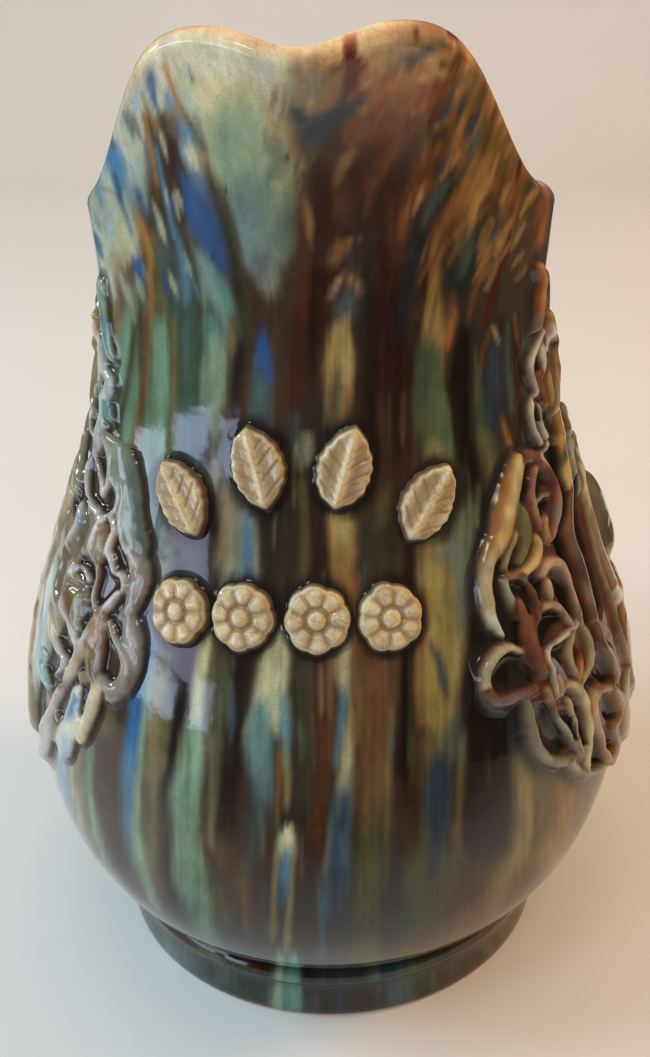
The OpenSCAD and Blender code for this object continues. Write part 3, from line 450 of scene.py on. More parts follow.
LOWER = [
    # under and between the pads
    ("slate", 0.8, 6, 190, 556, 18, 200, 600, 16),
    ("ash", 1.0, 5, 236, 504, 24, 238, 520, 36, 240, 545, 40, 240, 572, 40),
    ("clay", 0.6, 5, 228, 506, 14, 222, 540, 10, 216, 560, 8),
    ("steel", 0.9, 4, 247, 527, 9, 247, 548, 13, 246, 570, 12),
    ("teal", 0.5, 3, 240, 540, 4, 239, 572, 4),
    ("black", 0.85, 6, 276, 442, 24, 270, 456, 24),
    ("dark", 0.95, 6, 274, 498, 26, 276, 540, 26, 280, 590, 24, 283, 616, 15),
    ("soot", 0.5, 5, 264, 510, 8, 264, 560, 8, 266, 600, 8),
    ("olive", 0.8, 4, 305, 486, 12, 306, 520, 12, 305, 560, 12, 300, 588, 8),
    ("maroon", 0.95, 4, 318, 502, 10, 319, 540, 11, 320, 572, 12),
    ("gold", 1.0, 4, 340, 506, 21, 342, 520, 27, 342, 545, 27, 341, 560, 21),
    ("cream", 0.5, 5, 340, 506, 12, 341, 535, 12),
    ("tan", 0.95, 5, 341, 562, 21, 343, 580, 20, 348, 600, 22),
    ("orange", 0.7, 4, 350, 584, 14, 354, 602, 14),
    ("dark_olive", 0.95, 6, 372, 510, 20, 378, 540, 40, 382, 566, 34),
    ("olive", 0.6, 4, 384, 500, 14, 378, 520, 14),
    ("black", 0.95, 4, 410, 500, 8, 412, 530, 12, 412, 560, 14, 410, 580, 14),
    ("mustard", 0.9, 6, 430, 530, 26, 432, 556, 28, 434, 600, 30),
    ("ash", 0.8, 5, 444, 522, 22, 448, 556, 24, 450, 600, 26),
    ("lichen", 0.8, 5, 458, 502, 30, 462, 530, 30, 460, 560, 26, 458, 600, 22),
    ("slate", 0.7, 4, 436, 560, 8, 437, 586, 10, 438, 600, 6),
    ("tan", 0.7, 4, 426, 540, 8, 424, 580, 10),
    ("fern", 0.8, 5, 462, 480, 14, 470, 510, 12),
    ("ash", 0.7, 6, 160, 560, 14, 166, 600, 20, 164, 640, 16),
    # painted reflection: a pale-blue strip of the window mirrored beside the left relief
    ("sky", 0.9, 3, 133, 474, 4, 136, 500, 6, 142, 526, 8, 148, 548, 10, 150, 560, 12),
    ("sky", 0.95, 4, 148, 560, 14, 146, 590, 18, 148, 620, 24, 146, 648, 25, 142, 664, 14),
    ("azure", 0.6, 4, 144, 600, 6, 148, 640, 10, 145, 668, 8),
    ("pale", 0.5, 4, 158, 600, 10, 152, 630, 10),
    # long runs of the belly, left to right
    ("mustard", 0.8, 5, 160, 680, 16, 158, 720, 22, 154, 760, 22),
    ("olive", 0.8, 5, 166, 716, 14, 160, 760, 18),
    ("dun", 0.8, 5, 156, 774, 20, 152, 820, 20, 158, 870, 18),
    ("azure", 0.95, 3.5, 146, 672, 9, 140, 690, 14, 136, 716, 15, 131, 745, 14, 129, 768, 13),
    ("cobalt", 0.5, 3, 142, 690, 6, 136, 716, 7, 131, 750, 6),
    ("steel", 0.95, 4, 129, 770, 15, 128, 795, 16, 128, 820, 14, 129, 850, 12, 133, 868, 7),
    ("celadon", 0.95, 3, 150, 682, 9, 146, 710, 8, 141, 745, 8, 138, 790, 8, 137, 830, 10, 139, 858, 14, 146, 886, 14, 156, 904, 9),
    ("soot", 0.95, 3, 192, 604, 12, 190, 640, 14, 187, 680, 13, 181, 720, 12, 177, 756, 12, 174, 780, 11),
    ("dark", 0.9, 5, 172, 788, 14, 168, 830, 18, 168, 870, 18, 180, 906, 15),
    ("cream", 1.0, 3.4, 206, 624, 13, 206, 650, 16, 202, 684, 15, 199, 712, 15, 194, 738, 16),
    ("pale", 0.4, 3, 208, 624, 6, 205, 670, 6),
    ("celadon", 1.0, 4, 194, 734, 17, 189, 764, 24, 186, 800, 26, 184, 836, 26, 186, 864, 27),
    ("teal", 0.35, 5, 186, 790, 16, 183, 836, 14),
    ("moss", 0.6, 6, 190, 868, 26, 194, 900, 26, 200, 914, 17),
    ("ash", 0.8, 3, 212, 740, 8, 211, 790, 8, 212, 840, 8),
    ("olive", 0.9, 3, 218, 626, 8, 216, 664, 9, 212, 704, 9, 208, 742, 7),
    ("fern", 0.7, 3, 228, 642, 10, 228, 670, 10, 222, 710, 9, 216, 750, 9, 214, 798, 9),
    ("dark_olive", 0.9, 3, 234, 640, 5, 228, 690, 5, 222, 740, 5),
    ("black", 0.95, 4, 240, 644, 14, 240, 690, 15, 236, 740, 18, 230, 790, 20, 228, 826, 19),
    ("navy", 0.3, 3, 232, 700, 4, 230, 760, 5),
    ("cream", 1.0, 4, 288, 624, 7, 282, 642, 22, 275, 664, 32, 271, 690, 34, 271, 708, 35, 266, 716, 28),
    ("pale", 0.35, 5, 284, 640, 10, 280, 676, 14),
    ("grey_teal", 1.0, 4, 259, 722, 21, 258, 744, 28, 260, 770, 24, 262, 788, 17),
    ("teal", 0.6, 4, 266, 716, 7, 265, 740, 8),
    ("grey_teal", 0.9, 4, 285, 706, 14, 286, 724, 18, 285, 740, 13, 284, 752, 6),
    ("steel", 0.5, 3, 284, 708, 7, 285, 730, 8),
    ("cream", 0.7, 3, 276, 712, 7, 276, 732, 5),
    ("slate", 0.6, 5, 262, 792, 20, 258, 830, 22, 254, 858, 19),
    ("mustard", 0.8, 3, 285, 758, 6, 286, 776, 8, 285, 800, 7),
    ("orange", 0.7, 2.4, 279, 757, 5, 277, 776, 6, 275, 800, 5, 275, 814, 4),
    ("dark_olive", 0.9, 5, 306, 622, 18, 306, 680, 20, 305, 740, 20, 304, 788, 17),
    ("olive", 0.6, 2, 312, 640, 3, 313, 700, 3, 313, 760, 2.5),
    ("red_brown", 0.95, 4, 326, 622, 14, 325, 680, 16, 325, 740, 18, 322, 800, 16, 315, 850, 14, 311, 910, 16),
    ("rust", 0.6, 5, 333, 630, 8, 333, 690, 8, 332, 750, 7),
    ("cream", 1.0, 3.6, 352, 617, 12, 347, 634, 18, 345, 660, 18, 346, 684, 11, 347, 696, 8),
    ("tan", 0.6, 3, 338, 640, 7, 338, 670, 6),
    ("steel", 0.95, 2.5, 345, 699, 6, 344, 716, 8, 341, 742, 6, 339, 760, 4),
    ("cream", 0.9, 3, 352, 714, 5, 350, 740, 9, 348, 764, 12, 344, 790, 12, 338, 814, 9, 332, 840, 7, 326, 866, 5),
    ("ash", 0.7, 4, 352, 782, 10, 350, 804, 11),
    ("sepia", 0.95, 6, 376, 654, 32, 376, 700, 32, 374, 760, 30, 372, 806, 25),
    ("rust", 0.7, 7, 374, 650, 26, 376, 700, 26, 374, 750, 22),
    ("tan", 0.8, 3, 358, 640, 5, 358, 690, 6, 356, 740, 5),
    ("olive", 1.0, 2.8, 398, 650, 5, 397, 690, 6, 392, 720, 8, 389, 760, 9, 388, 810, 10, 388, 860, 11),
    ("mustard", 0.4, 2.5, 392, 716, 4, 389, 790, 5),
    ("soot", 0.9, 4, 410, 644, 16, 408, 700, 18, 406, 760, 18, 408, 808, 15),
    ("brown", 0.8, 5, 404, 802, 16, 402, 850, 20, 400, 886, 17),
    ("mustard", 1.0, 4, 438, 608, 42, 440, 630, 48, 440, 656, 46, 438, 690, 38, 440, 716, 34, 442, 738, 23),
    ("gold", 0.4, 5, 430, 610, 14, 428, 660, 12),
    ("ash", 0.6, 4, 456, 606, 16, 460, 640, 10),
    ("tan", 0.8, 4, 421, 632, 9, 421, 680, 11, 424, 720, 10),
    ("navy", 0.9, 3, 433, 650, 4, 439, 664, 7, 444, 684, 9, 447, 698, 4),
    ("ochre", 0.7, 3, 442, 704, 8, 446, 724, 8),
    ("slate", 0.9, 4, 456, 718, 8, 452, 736, 12, 448, 754, 16),
    ("olive", 0.9, 5, 428, 742, 18, 434, 764, 22),
    ("navy", 0.95, 4, 440, 776, 19, 438, 800, 24, 438, 830, 24, 438, 852, 13),
    ("slate", 0.6, 4, 428, 790, 6, 428, 840, 8, 440, 860, 16),
    ("olive", 0.95, 3, 463, 740, 8, 462, 780, 9, 460, 830, 9, 462, 854, 8),
    ("soot", 0.9, 6, 490, 664, 34, 490, 720, 44, 490, 778, 37),
    ("black", 0.8, 8, 490, 790, 42, 488, 840, 44),
    ("slate", 0.6, 4, 512, 714, 8, 516, 744, 10),
    ("mustard", 0.95, 4, 524, 764, 13, 526, 790, 16, 526, 830, 18, 518, 860, 17),
    ("gold", 0.4, 3, 526, 780, 7, 528, 820, 8),
    ("olive", 0.8, 5, 542, 788, 18, 546, 820, 18, 536, 854, 16),
    ("ochre", 0.8, 5, 566, 790, 20, 566, 826, 20, 556, 850, 18),
    ("tan", 0.7, 5, 582, 792, 14, 570, 830, 12, 548, 870, 12),
    # left side
    ("olive", 0.8, 5, 108, 700, 26, 110, 730, 24),
    ("dark", 0.6, 4, 122, 700, 6, 118, 740, 6),
    ("brown", 0.7, 5, 108, 760, 24, 108, 800, 26, 116, 846, 24, 132, 884, 19),
    ("pale", 0.9, 3, 60, 690, 18, 56, 730, 18, 55, 770, 12, 64, 810, 10, 78, 848, 8),
    ("sky", 0.9, 3, 62, 740, 14, 64, 780, 12, 72, 820, 10, 86, 862, 8),
    ("pale", 0.8, 3, 76, 740, 8, 74, 780, 8, 82, 824, 8, 94, 864, 7),
    ("taupe", 0.8, 3, 82, 742, 7, 82, 790, 8, 90, 836, 8, 104, 876, 7),
    ("celadon", 0.9, 3, 91, 742, 7, 90, 790, 9, 97, 830, 9, 108, 866, 8, 120, 890, 7),
    # low on the belly
    ("steel", 0.8, 4, 346, 802, 10, 344, 830, 14, 338, 866, 22, 334, 898, 23),
    ("navy", 0.8, 4, 348, 806, 7, 345, 820, 8),
    ("cobalt", 0.55, 5, 342, 880, 14, 340, 908, 13),
    ("slate", 0.8, 5, 322, 880, 8, 320, 920, 10, 324, 944, 10),
    ("pine", 0.9, 7, 372, 858, 30, 370, 900, 36, 366, 926, 28),
    ("fern", 0.8, 7, 420, 872, 44, 414, 905, 46, 400, 926, 32),
    ("olive", 0.6, 5, 404, 880, 14, 400, 900, 14),
    ("brown", 0.7, 6, 470, 880, 40, 456, 912, 30),
    ("sepia", 0.7, 6, 506, 884, 20, 480, 912, 20, 450, 930, 16),
    ("maroon", 0.9, 4, 309, 852, 16, 307, 900, 18, 306, 940, 18),
    ("sepia", 0.6, 6, 230, 850, 20, 240, 900, 26, 256, 930, 20),
    ("ochre", 0.5, 6, 214, 900, 20, 226, 920, 20),
    ("fern", 0.7, 6, 206, 880, 14, 214, 920, 16),
    ("red_brown", 0.8, 5, 264, 832, 10, 262, 880, 16, 258, 930, 18),
    ("cream", 1.0, 3, 288, 832, 9, 286, 840, 20, 286, 850, 22),
    ("pale", 0.4, 3, 290, 836, 8, 286, 850, 8),
    ("mustard", 0.85, 2.4, 276, 856, 6, 273, 890, 6, 272, 930, 8),
    ("steel", 0.95, 3, 285, 860, 10, 283, 876, 12, 280, 898, 7),
    ("navy", 0.7, 2.4, 279, 890, 6, 277, 916, 5),
    ("ash", 0.85, 2.4, 294, 858, 5, 290, 884, 6, 287, 916, 8, 286, 944, 8),
    # the foot
    ("slate", 0.95, 5, 150, 926, 18, 170, 950, 20, 200, 976, 20),
    ("ink", 0.9, 5, 204, 974, 20, 236, 990, 24, 256, 996, 14),
    ("steel", 0.6, 4, 176, 956, 10, 188, 966, 10),
    ("celadon", 1.0, 3, 278, 966, 12, 276, 1012, 15),
    ("teal", 1.0, 3, 293, 968, 16, 292, 1014, 18),
    ("ink", 1.0, 2.5, 310, 970, 8, 310, 1014, 11),
    ("dark", 0.9, 3, 324, 972, 10, 326, 1014, 10),
    ("navy", 0.9, 4, 348, 972, 12, 342, 1012, 14),
    ("navy", 0.8, 4, 372, 962, 10, 356, 980, 10),
    ("slate", 0.9, 6, 386, 972, 40, 396, 992, 40),
    ("pine", 0.9, 6, 412, 968, 26, 430, 975, 24),
    ("dark_olive", 0.9, 5, 440, 960, 28, 456, 962, 24),
    ("brown", 0.9, 4, 472, 952, 16, 468, 970, 14),
    ("ash", 0.6, 4, 484, 944, 8, 490, 950, 8),
    ("sepia", 0.8, 5, 506, 928, 18, 522, 910, 14),
]

EDGE = [
    ("peach", 1.0, 3, 176, 26, 9, 200, 25, 9, 225, 30, 9, 250, 44, 9, 276, 54, 9, 300, 58, 11, 322, 56, 13, 350, 47, 15,
     390, 32, 15, 425, 23, 13, 450, 25, 11, 466, 34, 8),
    ("lip", 0.7, 4, 300, 62, 8, 330, 62, 12, 360, 50, 10, 400, 36, 12, 424, 30, 8),
    ("lip", 0.8, 4, 176, 27, 10, 158, 42, 10, 146, 60, 9, 130, 84, 6),
    ("rust", 0.7, 3, 436, 24, 7, 456, 27, 7, 474, 40, 6, 490, 62, 5),
    ("rust", 0.7, 2, 346, 49, 6, 352, 56, 7),
    ("blood", 0.95, 1.3, 410, 34, 8, 419, 35, 9),
    ("blood", 0.95, 1.3, 449, 31, 7, 454, 37, 7),
    ("dark", 1.0, 1.2, 279, 63, 3, 280, 64, 3),
    ("dark", 0.9, 1.2, 252, 61, 2, 253, 62, 2),
    ("dark", 0.9, 1.2, 291, 65, 2, 292, 66, 2),
    ("dark", 1.0, 1.2, 287, 158, 3, 287, 160, 3),
    ("dark", 0.9, 1.2, 226, 190, 3, 227, 193, 2),
    ("blood", 0.85, 1.3, 411, 35, 5, 416, 36, 6), ("blood", 0.85, 1.3, 450, 31, 4, 454, 37, 5),
    ("ink", 0.8, 1.3, 278, 62, 3, 280, 63, 3), ("ink", 0.7, 1.3, 251, 61, 2.5, 253, 61, 2.5), ("ink", 0.6, 1.3, 290, 64, 2.5, 292, 65, 2.5),
    ("blood", 0.85, 2.0, 351, 50, 15, 357, 66, 17, 351, 86, 10),
    ("navy", 0.9, 2.6, 312, 131, 9, 330, 120, 16, 348, 110, 17, 360, 102, 9),
    ("navy", 0.75, 2.6, 300, 112, 9, 312, 124, 13, 322, 134, 9),
    ("navy", 0.7, 2.0, 408, 62, 6, 420, 58, 11, 434, 52, 6), ("navy", 0.7, 2.0, 440, 116, 7, 446, 100, 9, 454, 84, 6),
    ("tan", 0.6, 2.4, 372, 95, 7, 398, 82, 10, 428, 78, 8), ("rust", 0.75, 2.6, 400, 116, 10, 420, 98, 14, 444, 82, 8),
    ("umber", 0.6, 4, 352, 136, 14, 378, 112, 22, 404, 96, 14),
    ("rust", 0.55, 5, 452, 84, 10, 425, 112, 16, 398, 146, 18, 374, 184, 14),
    ("dark", 0.6, 4, 428, 128, 6, 402, 160, 10, 378, 194, 12, 370, 214, 10, 376, 290, 8),
    ("tan", 0.6, 3, 338, 178, 7, 344, 162, 10, 350, 150, 6), ("slate", 0.75, 2.4, 472, 150, 5, 476, 138, 7, 481, 124, 4),
    ("slate", 0.75, 3, 426, 222, 8, 436, 200, 12, 446, 184, 7), ("slate", 0.7, 3, 462, 268, 8, 468, 246, 12, 472, 230, 7),
    ("tan", 0.6, 4, 450, 216, 8, 468, 192, 14, 486, 164, 10), ("rust", 0.5, 4, 405, 196, 8, 420, 172, 12, 440, 146, 8),
    ("grey_teal", 0.5, 8, 176, 955, 14, 215, 980, 16, 260, 996, 16, 310, 1003, 14),
    ("grey_teal", 0.6, 6, 190, 880, 16, 205, 930, 16, 222, 962, 14), ("pine", 0.6, 6, 215, 890, 14, 228, 935, 14, 240, 968, 12),
    ("dun", 0.5, 6, 238, 890, 10, 248, 940, 10, 256, 972, 9), ("slate", 0.7, 6, 262, 900, 12, 268, 945, 12, 272, 975, 10),
    ("steel", 0.45, 6, 320, 900, 16, 322, 940, 16, 324, 975, 14), ("slate", 0.6, 6, 345, 890, 14, 345, 935, 16, 344, 975, 14),
    ("fern", 0.6, 7, 375, 890, 18, 372, 935, 18, 368, 972, 16), ("navy", 0.5, 7, 400, 880, 16, 394, 930, 18, 388, 970, 14),
    ("olive", 0.5, 7, 430, 880, 18, 420, 925, 18, 410, 962, 14), ("fern", 0.4, 7, 455, 870, 16, 444, 915, 16, 432, 950, 12),
    ("moss", 0.65, 4, 188, 800, 14, 194, 870, 17, 205, 935, 14), ("dark", 0.55, 4, 226, 800, 10, 232, 870, 12, 241, 938, 10),
    ("brown", 0.55, 4, 311, 820, 9, 311, 880, 10, 311, 945, 9), ("navy", 0.75, 4, 337, 800, 12, 335, 870, 15, 332, 942, 13),
    ("olive", 0.75, 5, 372, 800, 13, 368, 870, 19, 362, 948, 17), ("dark", 0.5, 4, 400, 800, 9, 394, 870, 12, 386, 940, 10),
    ("fern", 0.6, 5, 426, 830, 13, 416, 890, 16, 403, 946, 13), ("navy", 0.7, 4, 443, 788, 12, 440, 830, 16, 433, 872, 10),
    ("khaki", 0.6, 5, 526, 800, 11, 514, 850, 15, 494, 902, 11),
]

# dark rings round each pad: glaze pooled there, and painted shadow
POOL_AND_SHADOW_RINGS = [
    ("black", 0.8, 4.5, 176, 480, 55, 192, 516, 56), ("black", 0.8, 4.5, 252, 448, 61, 261, 487, 61),
    ("black", 0.8, 4.5, 350, 448, 61, 341, 487, 61), ("black", 0.8, 4.5, 443, 484, 55, 427, 518, 56),
    ("black", 0.8, 4.5, 181, 605, 64, 182, 619, 65), ("black", 0.8, 4.5, 241, 608, 68, 243, 623, 69),
    ("black", 0.8, 4.5, 316, 608, 70, 318, 624, 71), ("black", 0.8, 4.5, 390, 607, 67, 392, 621, 68),
]



def flecks(seed, count, left, top, right, bottom, lean, length, width, strength, colours):
    """Short scattered runs that break up a region."""
    rng = np.random.RandomState(seed)
    marks = []
    for k in range(count):
        x, y = rng.uniform(left, right), rng.uniform(top, bottom)
        d, w = rng.uniform(0.5, 1.0) * length, rng.uniform(0.5, 1.0) * width
        sway = lean * rng.uniform(0.75, 1.25)
        n = math.hypot(sway, 1)
        marks.append((colours[k % len(colours)], strength * rng.uniform(0.6, 1.0), 1.4, x, y, w * 0.7,
                      x + 0.5 * d * sway / n, y + 0.5 * d / n, w, x + d * sway / n, y + d / n, w * 0.5))
    return marks


FLECKS = (
    flecks(3, 52, 335, 52, 470, 122, -1.5, 22, 8, 0.95, ["tan", "clay", "sepia", "brown", "butter", "slate", "rust", "clay"])
    + flecks(5, 64, 425, 95, 535, 265, -0.55, 32, 8, 0.9, ["tan", "clay", "navy", "sepia", "ochre", "dark", "rust", "clay", "olive"])
    + flecks(7, 34, 335, 150, 440, 310, -0.2, 34, 7, 0.6, ["maroon", "rust", "ink", "red_brown", "umber", "dark"])
    + flecks(11, 50, 92, 80, 196, 290, 0.3, 26, 8, 0.85, ["pale", "steel", "oat", "slate", "tan", "cobalt", "dun", "oat"])
    + flecks(13, 26, 268, 88, 322, 190, -0.4, 14, 7, 0.6, ["clay", "sage", "slate", "dun", "oat"])
    + flecks(17, 90, 105, 330, 545, 900, 0.0, 60, 6, 0.4, ["cream", "teal", "dark", "brown", "steel", "olive", "butter", "ink", "moss"])
)
STROKES = BASE + UPPER + MIDDLE + LOWER + FLECKS + POOL_AND_SHADOW_RINGS + EDGE
FAR_STROKES = BASE + UPPER + MIDDLE + LOWER + FLECKS + EDGE
RIM_MARKS = [
    ("blood", 0.9, 1.3, 409, 36, 6, 416, 35, 8), ("blood", 0.9, 1.3, 449, 30, 6, 454, 38, 7),
    ("red_brown", 0.8, 2, 349, 50, 11, 354, 51, 12), ("rust", 0.6, 4, 424, 24, 8, 462, 30, 10),
    ("ink", 0.9, 1.3, 278, 62, 4, 280, 63, 4), ("ink", 0.8, 1.3, 251, 61, 3, 253, 61, 3), ("ink", 0.7, 1.3, 290, 64, 3, 292, 65, 3),
    ("tan", 0.5, 4, 372, 40, 8, 400, 32, 8), ("rust", 0.5, 3, 312, 60, 5, 330, 60, 5),
]


def to_linear(c):
    c = np.asarray(c, float) / 255.0
    return np.where(c <= 0.04045, c / 12.92, ((c + 0.055) / 1.055) ** 2.4)


def brush(x, y, strokes, start=None, feather=1.0, wobble=1.0):
    """Lays strokes over one another at points of the sheet. Colours are mixed as they are seen."""
    n = x.shape[0]
    out = np.zeros((n, 3)) if start is None else start.copy()
    # fine fibres run the way the glaze ran: down the belly, and slanting on the neck
    high = np.clip(300 - y, 0, 300)
    u = x + high * (0.28 - 0.68 * smooth(240, 400, x))
    comb = noise(u / 3.4, y / 80, 3) + 0.7 * noise(u / 1.7, y / 50, 4)
    wx = x + wobble * (2.4 * noise(x / 34, y / 70, 0) + 1.2 * noise(x / 12, y / 40, 1))
    wy = y + wobble * 4.0 * noise(x / 16, y / 60, 2)
    fibre = wobble * 4.0 * noise(u / 2.3, y / 120, 5)
    for name, strength, soft, *flat in strokes:
        pts = np.asarray(flat, float).reshape(-1, 3)
        reach = pts[:, 2].max() + 5 * soft + 12
        lo, hi = pts[:, :2].min(0) - reach, pts[:, :2].max(0) + reach
        pick = np.flatnonzero((wx > lo[0]) & (wx < hi[0]) & (wy > lo[1]) & (wy < hi[1]))
        if pick.size == 0:
            continue
        dot = soft < 1.35
        best = np.full(pick.size, 1e9)
        drop, slide = np.ptp(pts[:, 1]), np.ptp(pts[:, 0])
        steep = (drop / max(drop + slide, 1e-6)) ** 2
        blob = math.hypot(drop, slide) < 1.3 * pts[:, 2].max()
        qx, qy = (x[pick], y[pick]) if dot else (wx[pick], wy[pick] + steep * fibre[pick])
        last = len(pts) - 2
        for k in range(last + 1):
            (x0, y0, w0), (x1, y1, w1) = pts[k], pts[k + 1]
            dx, dy = x1 - x0, y1 - y0
            ln = max(math.hypot(dx, dy), 1e-6)
            run = ((qx - x0) * dx + (qy - y0) * dy) / ln
            t = np.clip(run / ln, 0, 1)
            past = run - t * ln
            if not (dot or blob):
                # the ends of a run fade out slowly
                past = past * np.where(past < 0, 0.5 if k == 0 else 1.0, 0.5 if k == last else 1.0)
            d = np.hypot(((qx - x0) * dy - (qy - y0) * dx) / ln, past) - (w0 + (w1 - w0) * t) / 2
            best = np.minimum(best, d)
        if not dot:
            best += feather * comb[pick] * (0.3 + 0.18 * min(soft, 7))
        edge = soft * 1.2 if soft > 9 else max(soft, 1.2) if dot else max(soft * 1.35, 2.2)
        if pts[:, 1].mean() > 540 and not dot:
            edge *= 1.3
        a = (strength * (1 - smooth(-edge, edge, best)))[:, None]
        out[pick] = out[pick] * (1 - a) + np.asarray(GLAZE[name], float) * a
    if start is None:
        out *= (1 + feather * (0.05 * noise(x / 15 + 40, y / 34 + 11, 0) + 0.05 * noise(x / 5 + 17, y / 9 + 5, 1)))[:, None]
        # painted light: the colours turn cooler on the left and darker and warmer towards the right, as the room's
        # light falls across the wall; weaker near the rim and fading out near the foot
        stops = [130, 250, 325, 400, 480, 560]
        painted_light_tone = np.stack([np.interp(x, stops, f) for f in (
            [0.93, 0.90, 0.87, 0.83, 0.90, 0.92], [1.00, 0.96, 0.89, 0.80, 0.87, 0.88], [1.03, 0.99, 0.87, 0.77, 0.80, 0.82])], 1)
        out *= 1 + (painted_light_tone - 1) * ((1 - 0.9 * smooth(930, 965, y)) * (0.35 + 0.65 * smooth(85, 130, y)))[:, None]
        out *= 1 + smooth(130, 85, y)[:, None] * np.array([0.0, -0.035, -0.03])
        out *= (1 - 0.09 * smooth(335, 295, x) * smooth(190, 215, x) * smooth(95, 140, y) * smooth(400, 320, y))[:, None]
        bowl = smooth(335, 295, x) * smooth(185, 210, x) * smooth(70, 95, y) * smooth(270, 190, y)
        out *= 1 + bowl[:, None] * np.array([0.03, -0.02, -0.09])
        warm = smooth(300, 335, x) * smooth(40, 60, y) * smooth(330, 180, y)
        out *= 1 + warm[:, None] * np.array([0.07, -0.02, -0.13])
        calm = 1 - 0.75 * smooth(320, 285, x) * smooth(330, 280, y)
        out *= (1 + feather * calm * (0.07 * noise(u / 4.6, y / 150, 6) + 0.05 * noise(u / 2.0, y / 90, 7)))[:, None]
    return out


FOLD = 73.0


def glaze_at(a, z, extra=()):
    """Glaze colour on the wall at an angle and a height. The side the camera can't see repeats the seen runs, shifted."""
    a = wrap_deg(a).ravel()
    z = np.asarray(z, float).ravel()

    def seen(aa, zz):
        lim = np.clip(aa, -76, 76)
        p = polar(lim, wall_r(lim, np.minimum(zz, rim_z(lim) - RIM_T / 2)), zz)
        return sheet_of(p)

    b = a - 3.0
    side = np.where(b >= 0, 1.0, -1.0)

    def runs(pick, fold, strokes):
        bb, ss, far = np.abs(b[pick]), side[pick], np.abs(b[pick]) > 148
        fold = np.broadcast_to(fold, b.shape)[pick]
        over = bb > fold
        f1 = np.where(over, ss * (2 * fold - bb), b[pick]) + 3.0
        zz = np.where(over, z[pick] + 3.0 * np.sin(bb / 9.0) * smooth(fold, fold + 14, bb), z[pick])
        tone = brush(*seen(f1, zz), strokes)
        if far.any():
            f2 = (-ss * (2 * fold - (360 - bb)))[far] + 3.0
            w = (0.5 * smooth(148, 180, bb[far]))[:, None]
            tone[far] = tone[far] * (1 - w) + brush(*seen(f2, zz[far]), strokes) * w
        return tone

    start = 71 - 17 * smooth(56, 22, z)
    turn = smooth(start, start + 14, np.abs(b))
    col = np.zeros((len(a), 3))
    near, past = turn < 1, turn > 0
    if near.any():
        col[near] += runs(near, FOLD, STROKES + list(extra)) * (1 - turn[near])[:, None]
    if past.any():
        col[past] += runs(past, 60 - 24 * smooth(112, 14, z), FAR_STROKES + list(extra)) * turn[past][:, None]
    return col


def lit(a, z):
    """How strongly the room lights the wall at an angle and a height, so that a glaze colour can be given as it is seen."""
    t = np.clip(np.sin(np.radians(np.where(np.abs(a) > 90, np.sign(a) * 180 - a, a))), -0.6, 0.6)[..., None]
    e = np.array([0.62, 0.58, 0.57]) + np.array([-0.11, -0.35, -0.56]) * t + np.array([0.46, 0.50, 0.50]) * t * t
    return e * (1.06 - 0.26 * np.clip((z - 60) / 110, 0, 1.1) ** 2)[..., None]


def mirrored(a, z):
    """What the gloss adds to the wall's own colour: a little of the room, and low on the belly the pale table."""
    t = np.sin(np.radians(a))[..., None]
    table = 0.036 * smooth(70, 36, z)[..., None] * (1 - 0.8 * smooth(0.25, 0.7, np.abs(t)))
    return 0.003 + table * np.array([1.0, 0.94, 0.86])


def finish_colour(col, a, z, crackle=None):
    """Seen colours to linear colours with the crackle's strength in the fourth channel."""
    a = wrap_deg(np.broadcast_to(np.asarray(a, float), col.shape[:1]))
    z = np.broadcast_to(np.asarray(z, float), col.shape[:1])
    seen = to_linear(np.clip(col, 4, 250))
    lin = np.clip(np.maximum(seen - mirrored(a, z), 0.25 * seen) / lit(a, z), 0.003, 0.88)
    lum = col.mean(1) / 255.0
    k = smooth(0.14, 0.52, lum) if crackle is None else crackle
    return np.concatenate([lin, np.clip(k, 0, 1)[:, None]], 1)


# ----------------------------------------------------------------------------------------------------------------------
# Meshes


def add_mesh(name, verts, faces, colour, material, node, bare=None):
    me = bpy.data.meshes.new(name)
    me.from_pydata((np.asarray(verts) * MM).tolist(), [], [list(map(int, f)) for f in faces])
    me.validate()
    bm = bmesh.new()
    bm.from_mesh(me)
    bmesh.ops.recalc_face_normals(bm, faces=bm.faces)
    bm.to_mesh(me)
    bm.free()
    att = me.attributes.new("glaze", "FLOAT_COLOR", "POINT")
    att.data.foreach_set("color", np.asarray(colour, np.float32).ravel())
    b = me.attributes.new("bare", "FLOAT", "POINT")
    b.data.foreach_set("value", np.zeros(len(verts), np.float32) if bare is None else np.asarray(bare, np.float32))
    me.polygons.foreach_set("use_smooth", np.ones(len(me.polygons), bool))
    me.materials.append(material)
    me.update()
    ob = bpy.data.objects.new(name, me)
    bpy.context.scene.collection.objects.link(ob)
    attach(ob, "root")
    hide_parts(node)
    return ob


def ring_faces(rows, cols, start=0):
    """Quads between rows of a closed ring; a row is cols points."""
    i, j = np.meshgrid(np.arange(rows - 1), np.arange(cols), indexing="ij")
    k = (j + 1) % cols
    return (np.stack([i * cols + j, i * cols + k, (i + 1) * cols + k, (i + 1) * cols + j], -1).reshape(-1, 4) + start).tolist()


def blur(h, times, mask=None):
    for _ in range(times):
        p = np.pad(h, 1, mode="edge")
        h = (p[:-2, 1:-1] + p[2:, 1:-1] + p[1:-1, :-2] + p[1:-1, 2:] + 4 * p[1:-1, 1:-1]) / 8
    return h


# ----------------------------------------------------------------------------------------------------------------------
# Materials


def new_material(name):
    m = bpy.data.materials.new(name)
    m.use_nodes = True
    nt = m.node_tree
    nt.nodes.clear()
    return m, nt


def node(nt, kind, inputs=None, **props):
    n = nt.nodes.new(kind)
    for k, v in props.items():
        setattr(n, k, v)
    for k, v in (inputs or {}).items():
        n.inputs[k].default_value = v
    return n


